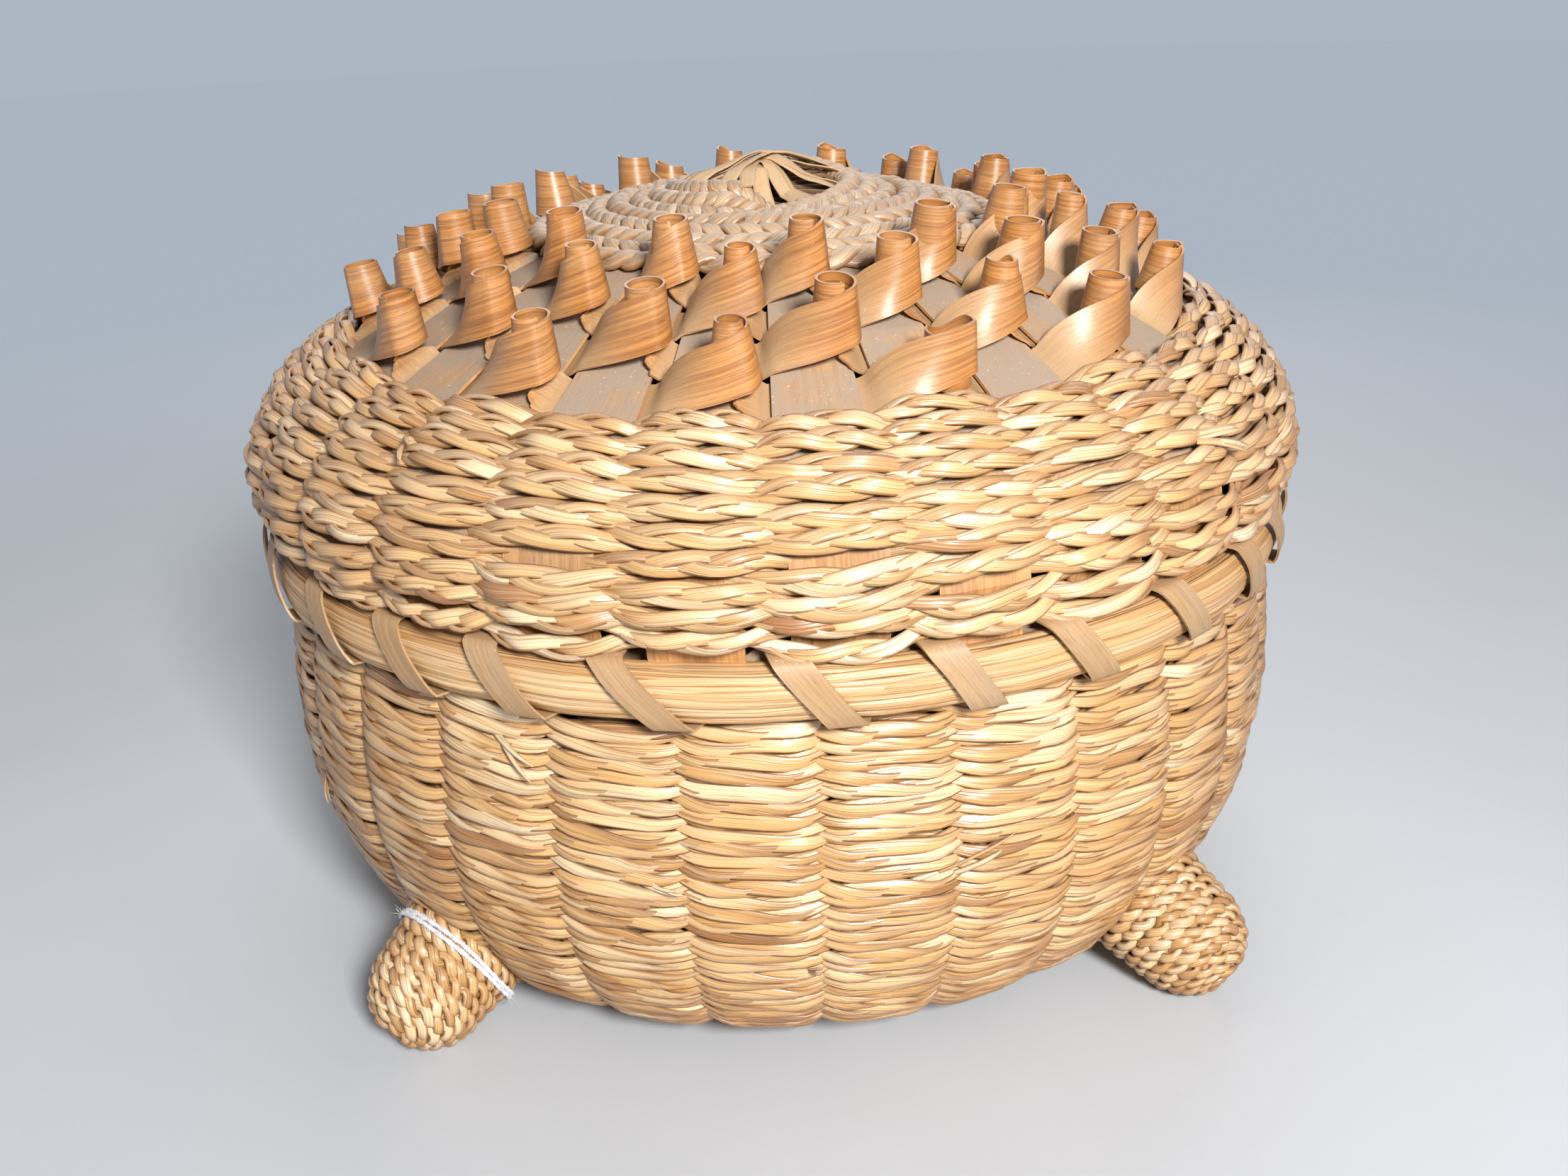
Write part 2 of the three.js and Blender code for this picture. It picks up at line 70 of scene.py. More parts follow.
PER_METRE = 1000.0
COLUMNS = 28
STEP = 2 * math.pi / COLUMNS
ABOVE = 160.0
DOWN = Vector((0, 0, -1))

Colour = tuple[float, float, float]
Spot = tuple[float, float, float]
Node = bpy.types.Node
Socket = bpy.types.NodeSocket
Material = bpy.types.Material
Piece = bpy.types.Object
Nodes = dict[str, bpy.types.Object]
Rng = np.random.Generator


class Body(Enum):
    """The two bodies of the basket."""

    BASKET = "basket"
    LID = "lid"


def srgb(red: int, green: int, blue: int) -> Colour:
    """Turns a colour as seen on a screen, 0 to 255, into a linear one.

    Args:
        red: Red part.
        green: Green part.
        blue: Blue part.

    Returns:
        The linear colour.
    """
    return tuple(((v / 255 + 0.055) / 1.055) ** 2.4 for v in (red, green, blue))


def rgba(colour: Colour) -> tuple[float, float, float, float]:
    """A colour with full alpha."""
    return (*colour, 1.0)


def place(out: np.ndarray, side: np.ndarray, up: np.ndarray, azimuth: np.ndarray) -> np.ndarray:
    """Gives points from their place around the axis.

    Args:
        out: Way outwards along the azimuth.
        side: Way sideways to it.
        up: Height above the table.
        azimuth: Turn from the front (-Y) towards the right (+X), in radians.

    Returns:
        An array of points with x, y and z in the last axis.
    """
    sine, cosine = np.sin(azimuth), np.cos(azimuth)
    return np.stack(np.broadcast_arrays(out * sine + side * cosine, side * sine - out * cosine, up), -1)


def stand(profile: np.ndarray, azimuth: np.ndarray) -> np.ndarray:
    """Points or ways of a profile, stood up at their azimuths."""
    return place(profile[..., 0], 0, profile[..., 1], azimuth)


def unit(rows: np.ndarray) -> np.ndarray:
    """Vectors at length one."""
    return rows / np.maximum(np.linalg.norm(rows, axis=-1, keepdims=True), 1e-9)


def ring_places(count: int) -> tuple[np.ndarray, np.ndarray]:
    """Even places around a ring, as turns from 0 to 1 and as angles."""
    turn = np.arange(count) / count
    return turn, 2 * np.pi * turn


def short_turn(angle: np.ndarray | float) -> np.ndarray | float:
    """An angle brought to within half a turn of zero."""
    return (angle + math.pi) % (2 * math.pi) - math.pi


def smooth_between(
    a: np.ndarray, b: np.ndarray, c: np.ndarray, d: np.ndarray, t: np.ndarray | float
) -> np.ndarray:
    """Follows a smooth line from one point to the next.

    Args:
        a: The point before the first one.
        b: The point where the line starts.
        c: The point where it ends.
        d: The point after that one.
        t: Share of the way from b to c.

    Returns:
        The points at t.
    """
    return b + 0.5 * t * (c - a + t * (2 * a - 5 * b + 4 * c - d + t * (3 * (b - c) + d - a)))


def wobble(rng: Rng, turn: np.ndarray, knots: int, amount: float) -> np.ndarray:
    """Smooth random waves around a ring.

    Args:
        rng: Source of random numbers.
        turn: Place around the ring, 0 to 1.
        knots: Number of random values around the ring.
        amount: Largest value.

    Returns:
        One value for each place.
    """
    values = rng.uniform(-amount, amount, knots)
    spot = (turn % 1) * knots
    low = np.floor(spot).astype(int) % knots
    share = spot - np.floor(spot)
    share = share * share * (3 - 2 * share)
    return values[low] * (1 - share) + values[(low + 1) % knots] * share


class Outline:
    """A smooth line through the points of a profile, from its top to its far end."""

    def __init__(self, points: Sequence[tuple[float, float]]) -> None:
        """Samples the line.

        Args:
            points: Radius and height of each point.
        """
        spots = np.array(points, float)
        padded = np.vstack([2 * spots[0] - spots[1], spots, 2 * spots[-1] - spots[-2]])
        t = np.linspace(0, 1, 40, endpoint=False)[:, None]
        spans = zip(padded, padded[1:], padded[2:], padded[3:])
        line = np.vstack([*(smooth_between(*span, t) for span in spans), spots[-1:]])
        self.way = np.concatenate([[0], np.cumsum(np.linalg.norm(np.diff(line, axis=0), axis=1))])
        self.line = line
        self.tangent = unit(np.gradient(line, self.way, axis=0))
        self.length = float(self.way[-1])

    def at(self, way: np.ndarray) -> tuple[np.ndarray, np.ndarray, np.ndarray]:
        """Point, tangent and outward normal at a way along the line.

        Args:
            way: Way from the first point.

        Returns:
            Radius and height of the point, of the tangent and of the normal, in the last axis.
        """
        tangent = unit(self._pick(self.tangent, way))
        normal = np.stack([-tangent[..., 1], tangent[..., 0]], -1)
        return self._pick(self.line, way), tangent, normal

    def _pick(self, table: np.ndarray, way: np.ndarray) -> np.ndarray:
        """Both columns of a table at a way along the line."""
        return np.stack([np.interp(way, self.way, table[:, i]) for i in (0, 1)], -1)


def new_object(name: str, data: bpy.types.ID) -> Piece:
    """Puts a new object into the scene.

    Args:
        name: Its name.
        data: The mesh, lamp or camera that it shows.

    Returns:
        The object.
    """
    made = bpy.data.objects.new(name, data)
    bpy.context.scene.collection.objects.link(made)
    return made


class StrandBook:
    """Centre lines of strands, with what the sweep needs to know at each point."""

    def __init__(self, seed: int = 1) -> None:
        """Starts empty.

        Args:
            seed: Seed for where the closed strands start.
        """
        self.points: list[np.ndarray] = []
        self.lay: list[np.ndarray] = []
        self.wide: list[np.ndarray] = []
        self.tone: list[np.ndarray] = []
        self.ply: list[np.ndarray] = []
        self.edges: list[np.ndarray] = []
        self.count = 0
        self.rng = np.random.default_rng(seed)

    def add(
        self, points: np.ndarray, lay: np.ndarray, wide: np.ndarray, tone: float | np.ndarray,
        closed: bool = True, depth: np.ndarray | None = None,
    ) -> None:
        """Adds one strand.

        Args:
            points: Points of the centre line, in millimetres.
            lay: The way that the flat side of the strand faces, at each point.
            wide: Width at each point, as a share of the width of the sweep.
            tone: Shade of the strand, 0 dark to 1 light.
            closed: Whether the strand ends where it starts.
            depth: How deep each point lies; a closed strand has its ends at one of the deepest.
        """
        size = len(points)
        wide, tone = np.broadcast_to(wide, size), np.broadcast_to(tone, size)
        if closed:
            along = unit(np.roll(points, -1, 0) - np.roll(points, 1, 0))
            choice = np.arange(size) if depth is None else np.argsort(-depth)[: max(1, size // 8)]
            order = (np.arange(size + 1) + int(self.rng.choice(choice))) % size
            points, lay, along = points[order], lay[order], along[order]
            wide, tone = wide[order], tone[order]
            size += 1
        else:
            along = unit(np.gradient(points, axis=0))
        flat = unit(lay - (lay * along).sum(-1, keepdims=True) * along)
        index = np.arange(size - 1)
        self.edges.append(self.count + np.stack([index, index + 1], -1))
        self.points.append(points)
        self.lay.append(flat)
        self.wide.append(wide)
        self.tone.append(np.clip(tone, 0, 1))
        self.ply.append(np.full(size, self.rng.uniform()))
        self.count += size

    def carrier(self, name: str) -> Piece:
        """The centre lines as a mesh of edges.

        Args:
            name: Name of the object.

        Returns:
            The object, with attributes lay, wide, tone and ply on its points.
        """
        points = np.concatenate(self.points) * MM
        mesh = bpy.data.meshes.new(name)
        mesh.from_pydata(points.tolist(), np.concatenate(self.edges).tolist(), [])
        for label, values in (("wide", self.wide), ("tone", self.tone), ("ply", self.ply)):
            mesh.attributes.new(label, "FLOAT", "POINT").data.foreach_set("value", np.concatenate(values))
        lay = mesh.attributes.new("lay", "FLOAT_VECTOR", "POINT")
        lay.data.foreach_set("vector", np.concatenate(self.lay).ravel())
        return new_object(name, mesh)


class Sheet:
    """Adds nodes to a tree and joins their sockets."""

    def __init__(self, tree: bpy.types.NodeTree) -> None:
        """Keeps the tree."""
        self.tree = tree

    def feed(self, socket: Socket, value: object) -> None:
        """Joins a socket to another, or sets its value.

        Args:
            socket: The input socket.
            value: The socket to join it to, the value to set, or None to leave it as it is.
        """
        if isinstance(value, bpy.types.NodeSocket):
            self.tree.links.new(value, socket)
        elif value is not None:
            socket.default_value = value

    def give(self, node: Node, **inputs: object) -> None:
        """Feeds inputs of a node, named as they are, with _ for a space."""
        for name, value in inputs.items():
            self.feed(node.inputs[name.replace("_", " ")], value)

    def add(self, kind: str, settings: dict[str, object] | None = None, **inputs: object) -> Node:
        """Adds a node.

        Args:
            kind: Type of the node.
            settings: Properties of the node.
            **inputs: Values or sockets for its inputs, named as the inputs are, with _ for a space.

        Returns:
            The node.
        """
        node = self.tree.nodes.new(kind)
        for name, value in (settings or {}).items():
            setattr(node, name, value)
        self.give(node, **inputs)
        return node

    def use(self, group: bpy.types.NodeTree, **inputs: object) -> Node:
        """Adds a node group."""
        return self.add("ShaderNodeGroup", {"node_tree": group}, **inputs)

    def math(self, operation: str, *values: object) -> Socket:
        """Adds a function of numbers.

        Args:
            operation: The function.
            *values: Numbers or sockets that it takes.

        Returns:
            The socket of the result.
        """
        node = self.add("ShaderNodeMath", {"operation": operation})
        for socket, value in zip(node.inputs, values):
            self.feed(socket, value)
        return node.outputs[0]

    def plus(self, first: object, second: object) -> Socket:
        """A sum."""
        return self.math("ADD", first, second)

    def less(self, first: object, second: object) -> Socket:
        """The first number less the second."""
        return self.math("SUBTRACT", first, second)

    def times(self, first: object, second: object) -> Socket:
        """A product."""
        return self.math("MULTIPLY", first, second)

    def remap(self, value: Socket, low: float, high: float, to_low: float = 0, to_high: float = 1) -> Socket:
        """Moves a value softly from one range to another, and keeps it there.

        Args:
            value: The value.
            low: Start of its range.
            high: End of its range.
            to_low: What it becomes at the start.
            to_high: What it becomes at the end.

        Returns:
            The socket of the result.
        """
        settings = {"clamp": True, "interpolation_type": "SMOOTHSTEP"}
        node = self.add(
            "ShaderNodeMapRange", settings, Value=value, From_Min=low, From_Max=high, To_Min=to_low,
            To_Max=to_high,
        )
        return node.outputs[0]

    def blend(self, share: object, first: object, second: object) -> Socket:
        """Mixes two colours.

        Args:
            share: Share of the second colour.
            first: The first colour, as a socket or as three numbers.
            second: The second one.

        Returns:
            The socket of the result.
        """
        node = self.add("ShaderNodeMix", {"data_type": "RGBA", "clamp_factor": True})
        for index, value in ((0, share), (6, first), (7, second)):
            if isinstance(value, tuple) and len(value) == 3:
                value = rgba(value)
            self.feed(node.inputs[index], value)
        return node.outputs[2]

    def vector(self, x: object, y: object, z: object) -> Socket:
        """Three numbers joined to a vector."""
        return self.add("ShaderNodeCombineXYZ", X=x, Y=y, Z=z).outputs[0]

    def noise(self, vector: Socket, scale: float = 1.0, detail: float = 2.0, rough: float = 0.5) -> Socket:
        """Cloudy noise, 0 to 1."""
        node = self.add("ShaderNodeTexNoise", Vector=vector, Scale=scale, Detail=detail, Roughness=rough)
        return node.outputs[0]

    def spot(self) -> Socket:
        """Place in the space of the object, in metres."""
        return self.add("ShaderNodeTexCoord").outputs["Object"]

    def rise(self) -> Socket:
        """How far the surface faces up, -1 to 1."""
        normal = self.add("ShaderNodeNewGeometry").outputs["Normal"]
        return self.add("ShaderNodeSeparateXYZ", Vector=normal).outputs["Z"]

    def length(self, vector: Socket) -> Socket:
        """Length of a vector."""
        return self.add("ShaderNodeVectorMath", {"operation": "LENGTH"}, Vector=vector).outputs["Value"]

    def relief(self, height: Socket, strength: float, distance: float) -> Socket:
        """The normal of a surface with fine relief."""
        return self.add("ShaderNodeBump", Strength=strength, Distance=distance, Height=height).outputs[0]

    def turned(self, amount: float) -> Socket:
        """How far the surface turns away from the eye, up to an amount; the finishes darken by it as painted
        shade.
        """
        facing = self.add("ShaderNodeLayerWeight", Blend=0.5).outputs["Facing"]
        return self.remap(facing, 0.22, 0.95, 0, amount)

    def attribute(self, name: str) -> Socket:
        """A number that the mesh carries."""
        return self.add("ShaderNodeAttribute", {"attribute_name": name}).outputs["Fac"]


def new_group(name: str, inputs: dict[str, float], outputs: Iterable[str]) -> tuple[Sheet, Node, Node]:
    """Starts a shader node group.

    Args:
        name: Name of the group.
        inputs: Names and first values of its number inputs.
        outputs: Names of its number outputs.

    Returns:
        The sheet to build on, and the group's input and output nodes.
    """
    tree = bpy.data.node_groups.new(name, "ShaderNodeTree")
    for label, value in inputs.items():
        socket = tree.interface.new_socket(name=label, in_out="INPUT", socket_type="NodeSocketFloat")
        socket.default_value = value
    for label in outputs:
        tree.interface.new_socket(name=label, in_out="OUTPUT", socket_type="NodeSocketFloat")
    sheet = Sheet(tree)
    return sheet, tree.nodes.new("NodeGroupInput"), tree.nodes.new("NodeGroupOutput")


class SharedEffects:
    """Node groups that more than one finish uses."""

    def __init__(self) -> None:
        """Builds the groups."""
        self.blade = self._blade()
        self.ash = self._ash()
        self.dust = self._dust()
        self.around = self._around()

    def _blade(self) -> bpy.types.NodeTree:
        """Fine lines and slow streaks that run along a grass blade.

        Returns:
            The group.
        """
        sheet, source, sink = new_group(
            "blade lines", {"Across": 0, "Along": 0, "Strand": 0, "Lines": 5, "Reach": 60},
            ("Hair", "Crease", "Streak"),
        )
        across, along, strand = (source.outputs[n] for n in ("Across", "Along", "Strand"))
        way = sheet.times(along, source.outputs["Reach"])
        apart = sheet.times(strand, 173.0)
        wide = sheet.times(across, source.outputs["Lines"])
        hair = sheet.noise(sheet.vector(wide, way, apart), 1.0, 2.0, 0.5)
        coarse = sheet.vector(sheet.times(wide, 0.8), sheet.times(way, 0.35), apart)
        ridge = sheet.math("ABSOLUTE", sheet.less(sheet.noise(coarse, 1.0, 1.0, 0.5), 0.5))
        crease = sheet.remap(ridge, 0.004, 0.028)
        slow = sheet.vector(sheet.times(across, 0.9), sheet.times(way, 0.9), apart)
        sheet.give(sink, Hair=hair, Crease=crease, Streak=sheet.noise(slow, 1.0, 2.0, 0.6))
        return sheet.tree

    def _ash(self) -> bpy.types.NodeTree:
        """Growth lines and pores of split ash.

        Returns:
            The group.
        """
        sheet, source, sink = new_group(
            "ash grain", {"Across": 0, "Along": 0, "Piece": 0, "Lines": 1, "Wave": 0.03},
            ("Ring", "Pore", "Cloud"),
        )
        across, along, piece = (source.outputs[n] for n in ("Across", "Along", "Piece"))
        apart = sheet.times(piece, 17.3)
        wide = sheet.times(across, source.outputs["Lines"])
        slow = sheet.times(along, source.outputs["Wave"])
        ring = sheet.noise(sheet.vector(wide, slow, apart), 1.6, 3.0, 0.6)
        fine = sheet.vector(sheet.times(wide, 6.0), sheet.times(along, 0.35), apart)
        pore = sheet.remap(sheet.noise(fine, 1.0, 1.0, 0.5), 0.62, 0.72)
        cloud = sheet.vector(sheet.times(across, 0.12), sheet.times(along, 0.05), apart)
        sheet.give(sink, Ring=ring, Pore=pore, Cloud=sheet.noise(cloud, 1.0, 3.0, 0.55))
        return sheet.tree

    def _dust(self) -> bpy.types.NodeTree:
        """Where dust lies: on what faces up, in patches, with fine specks.

        Returns:
            The group.
        """
        sheet, source, sink = new_group("dust", {"Amount": 0.5}, ("Mask", "Speck"))
        spot = sheet.spot()
        facing = sheet.remap(sheet.rise(), -0.1, 0.9)
        patch = sheet.remap(sheet.noise(spot, 90.0, 4.0, 0.6), 0.12, 0.56)
        speck = sheet.remap(sheet.noise(spot, 1900.0, 1.0, 0.5), 0.69, 0.76)
        mask = sheet.times(sheet.times(facing, patch), source.outputs["Amount"])
        sheet.give(sink, Mask=mask, Speck=sheet.times(speck, facing))
        return sheet.tree

    def _around(self) -> bpy.types.NodeTree:
        """Place on the nearest upright splint: across it, along it, and which one it is.

        Returns:
            The group.
        """
        sheet, source, sink = new_group("splint place", {"Turn": 0, "Fall": 1}, ("Across", "Along", "Piece"))
        x, y, z = sheet.add("ShaderNodeSeparateXYZ", Vector=sheet.spot()).outputs
        azimuth = sheet.math("ARCTAN2", x, sheet.times(y, -1.0))
        count = sheet.math("DIVIDE", sheet.less(azimuth, source.outputs["Turn"]), STEP)
        nearest = sheet.math("ROUND", count)
        off = sheet.times(sheet.less(count, nearest), STEP)
        radius = sheet.math("SQRT", sheet.plus(sheet.times(x, x), sheet.times(y, y)))
        across = sheet.times(sheet.times(radius, sheet.math("SINE", off)), PER_METRE)
        along = sheet.less(radius, sheet.times(z, source.outputs["Fall"]))
        sheet.give(sink, Across=across, Along=sheet.times(along, PER_METRE), Piece=nearest)
        return sheet.tree


def new_material(name: str) -> tuple[Material, Sheet, Node]:
    """Starts a material.

    Args:
        name: Name of the material.

    Returns:
        The material, the sheet to build on, and its Principled node.
    """
    material = bpy.data.materials.new(name)
    material.use_nodes = True
    return material, Sheet(material.node_tree), material.node_tree.nodes["Principled BSDF"]


@dataclass(frozen=True)
class GrassFinish:
    """Dry grass blades in a strand, with fine lines along them, painted shade along the strand's edges and
    painted shade where it turns from the eye.
    """

    name: str
    dark: Colour
    straw: Colour
    pale: Colour
    crease: Colour = srgb(128, 84, 44)
    grey: Colour = srgb(176, 156, 138)
    lines: float = 4.0
    # Strength of the painted shade along the strand's edges, in the crease colour.
    outline: float = 0.6
    relief: float = 0.00025
    roughness: float = 0.31
    gloss: float = 1.0
    # Strength of the painted shade where a strand turns away from the eye.
    painted_shade: float = 0.6
    dust: float = 0.35
    reach: float = 40.0
    tone_share: float = 0.7

    def material(self, effects: SharedEffects) -> Material:
        """Builds the material.

        Args:
            effects: The shared node groups.

        Returns:
            The material.
        """
        material, sheet, shader = new_material(self.name)
        tone, across = sheet.attribute("tone"), sheet.attribute("across")
        blade = sheet.use(
            effects.blade, Across=across, Along=sheet.attribute("along"), Strand=sheet.attribute("ply"),
            Lines=self.lines, Reach=self.reach,
        )
        hair, crease, streak = (blade.outputs[n] for n in ("Hair", "Crease", "Streak"))
        shade = sheet.plus(sheet.times(tone, self.tone_share), sheet.times(streak, 1 - self.tone_share))
        low = sheet.blend(sheet.remap(shade, 0.12, 0.5), self.dark, self.straw)
        colour = sheet.blend(sheet.remap(shade, 0.45, 0.95), low, self.pale)
        colour = sheet.blend(sheet.remap(hair, 0.5, 0.75, 0, 0.34), colour, self.pale)
        colour = sheet.blend(sheet.remap(hair, 0.26, 0.46, 0.42, 0), colour, self.dark)
        greyed = sheet.remap(sheet.times(streak, sheet.plus(hair, 0.45)), 0.52, 0.72, 0, 0.35)
        colour = sheet.blend(greyed, colour, self.grey)
        lined = sheet.times(sheet.less(1.0, crease), 0.62)
        # The crease lines are the blade's own; the band along the strand's edges is painted shade between
        # strands.
        edge = sheet.remap(sheet.math("ABSOLUTE", across), 0.6, 0.98, 0, self.outline)
        colour = sheet.blend(sheet.math("MAXIMUM", lined, edge), colour, self.crease)
        # Painted shade: darker towards the dark colour where the strand turns away from the eye.
        colour = sheet.blend(sheet.turned(self.painted_shade), colour, self.dark)
        mask = sheet.use(effects.dust, Amount=self.dust).outputs["Mask"]
        colour = sheet.blend(mask, colour, self.grey)
        rough = sheet.plus(sheet.times(hair, 0.3), self.roughness - 0.12)
        height = sheet.plus(sheet.times(hair, 0.6), sheet.times(crease, 0.5))
        sheet.give(
            shader, Base_Color=colour, Roughness=sheet.plus(rough, sheet.times(mask, 0.3)),
            Normal=sheet.relief(height, 0.7, self.relief), Specular_IOR_Level=self.gloss,
        )
        return material


@dataclass(frozen=True)
class AshFinish:
    """Split ash: growth lines, pores, grey dust, and painted shade where it turns from the eye."""

    name: str
    dark: Colour
    light: Colour
    grey: Colour = srgb(168, 151, 134)
    dust: float = 0.8
    contrast: float = 0.5
    roughness: float = 0.62
    coat: float = 0.0
    wave: float = 0.03
    lines: float = 1.0
    # Strength of the painted shade where the ash turns away from the eye.
    painted_shade: float = 0.3
    speck: Colour = srgb(222, 212, 200)

    def dress(
        self, effects: SharedEffects, sheet: Sheet, shader: Node, spot: dict[str, Socket], dusty: object
    ) -> Socket:
        """Joins the finish to a shader.

        Args:
            effects: The shared node groups.
            sheet: Where the material is built.
            shader: Its Principled node.
            spot: Sockets for the place across, along and the number of the piece.
            dusty: How much dust lies here.

        Returns:
            The colour, still to be joined.
        """
        grain = sheet.use(effects.ash, **spot, Wave=self.wave, Lines=self.lines)
        ring, pore, cloud = (grain.outputs[n] for n in ("Ring", "Pore", "Cloud"))
        low, high = 0.5 - 0.5 * self.contrast, 0.5 + 0.5 * self.contrast
        colour = sheet.blend(sheet.remap(ring, 0.34, 0.66, low, high), self.dark, self.light)
        colour = sheet.blend(sheet.remap(cloud, 0.4, 0.75, 0, 0.35), colour, self.grey)
        colour = sheet.blend(sheet.times(pore, 0.3), colour, self._darker(0.45))
        # Painted shade: darker towards the dark colour where the surface turns away from the eye.
        colour = sheet.blend(sheet.turned(self.painted_shade), colour, self.dark)
        dust = sheet.use(effects.dust, Amount=dusty)
        mask, speck = dust.outputs["Mask"], sheet.times(dust.outputs["Speck"], 0.5)
        colour = sheet.blend(speck, sheet.blend(mask, colour, self.grey), self.speck)
        rough = sheet.plus(sheet.times(ring, 0.15), self.roughness - 0.08)
        height = sheet.plus(sheet.less(sheet.times(ring, 0.8), sheet.times(pore, 0.6)), speck)
        sheet.give(
            shader, Roughness=sheet.plus(rough, sheet.times(mask, 0.3)),
            Normal=sheet.relief(height, 0.5, 0.00012), Coat_Weight=self.coat, Coat_Roughness=0.36,
        )
        return colour

    def _darker(self, share: float) -> Colour:
        """The dark colour, dimmed to a share of itself."""
        return tuple(share * v for v in self.dark)

    def upright(self, effects: SharedEffects, turn: float, fall: float) -> Material:
        """The finish on upright splints, which carry no map of their own, with painted shade on their steep
        faces near the hub.

        Args:
            effects: The shared node groups.
            turn: Azimuth of the front splint, degrees.
            fall: 1 where the splints fall outwards, -1 where they rise.

        Returns:
            The material.
        """
        material, sheet, shader = new_material(self.name)
        around = sheet.use(effects.around, Turn=math.radians(turn), Fall=fall)
        spot = {name: around.outputs[name] for name in ("Across", "Along", "Piece")}
        colour = self.dress(effects, sheet, shader, spot, self.dust)
        # Painted shade: steep faces within about 30 mm of the axis darken, for the crevices at the hub.
        steep = sheet.remap(sheet.math("ABSOLUTE", sheet.rise()), 0.3, 0.8, 0.85, 0)
        x, y, _ = sheet.add("ShaderNodeSeparateXYZ", Vector=sheet.spot()).outputs
        inside = sheet.remap(sheet.length(sheet.vector(x, y, 0.0)), 0.024, 0.03, 1, 0)
        sheet.give(shader, Base_Color=sheet.blend(sheet.times(steep, inside), colour, self._darker(0.22)))
        return material

    def strip(self, effects: SharedEffects) -> Material:
        """The finish on a strip that carries its own place across and along.

        Args:
            effects: The shared node groups.

        Returns:
            The material.
        """
        material, sheet, shader = new_material(self.name)
        spot = {
            "Across": sheet.times(sheet.attribute("across"), 4.0),
            "Along": sheet.times(sheet.attribute("along"), PER_METRE),
            "Piece": sheet.times(sheet.attribute("tone"), 9.0),
        }
        clean = sheet.attribute("roll")
        dusty = sheet.times(sheet.less(1.0, sheet.times(clean, 0.85)), self.dust)
        colour = self.dress(effects, sheet, shader, spot, dusty)
        faded = sheet.times(sheet.less(1.0, clean), 0.62)
        sheet.give(shader, Base_Color=sheet.blend(faded, colour, self.grey))
        return material


@dataclass(frozen=True)
class ThreadFinish:
    """Soft white thread."""

    name: str
    white: Colour = srgb(226, 228, 232)
    shade: Colour = srgb(176, 178, 190)

    def material(self, effects: SharedEffects) -> Material:
        """Builds the material.

        Args:
            effects: The shared node groups.

        Returns:
            The material.
        """
        material, sheet, shader = new_material(self.name)
        blade = sheet.use(
            effects.blade, Across=sheet.attribute("across"), Along=sheet.attribute("along"),
            Strand=sheet.attribute("tone"), Lines=3.0, Reach=900.0,
        )
        hair = blade.outputs["Hair"]
        sheet.give(
            shader, Base_Color=sheet.blend(sheet.remap(hair, 0.3, 0.6), self.shade, self.white),
            Roughness=sheet.plus(sheet.times(hair, 0.2), 0.75), Normal=sheet.relief(hair, 0.6, 0.0002),
            Sheen_Weight=0.5,
        )
        return material


@dataclass(frozen=True)
class Section:
    """Section of a strand: width and straying in millimetres, thickness as a share of the width."""

    width: float
    flatness: float
    sides: int
    wander: float = 0.0


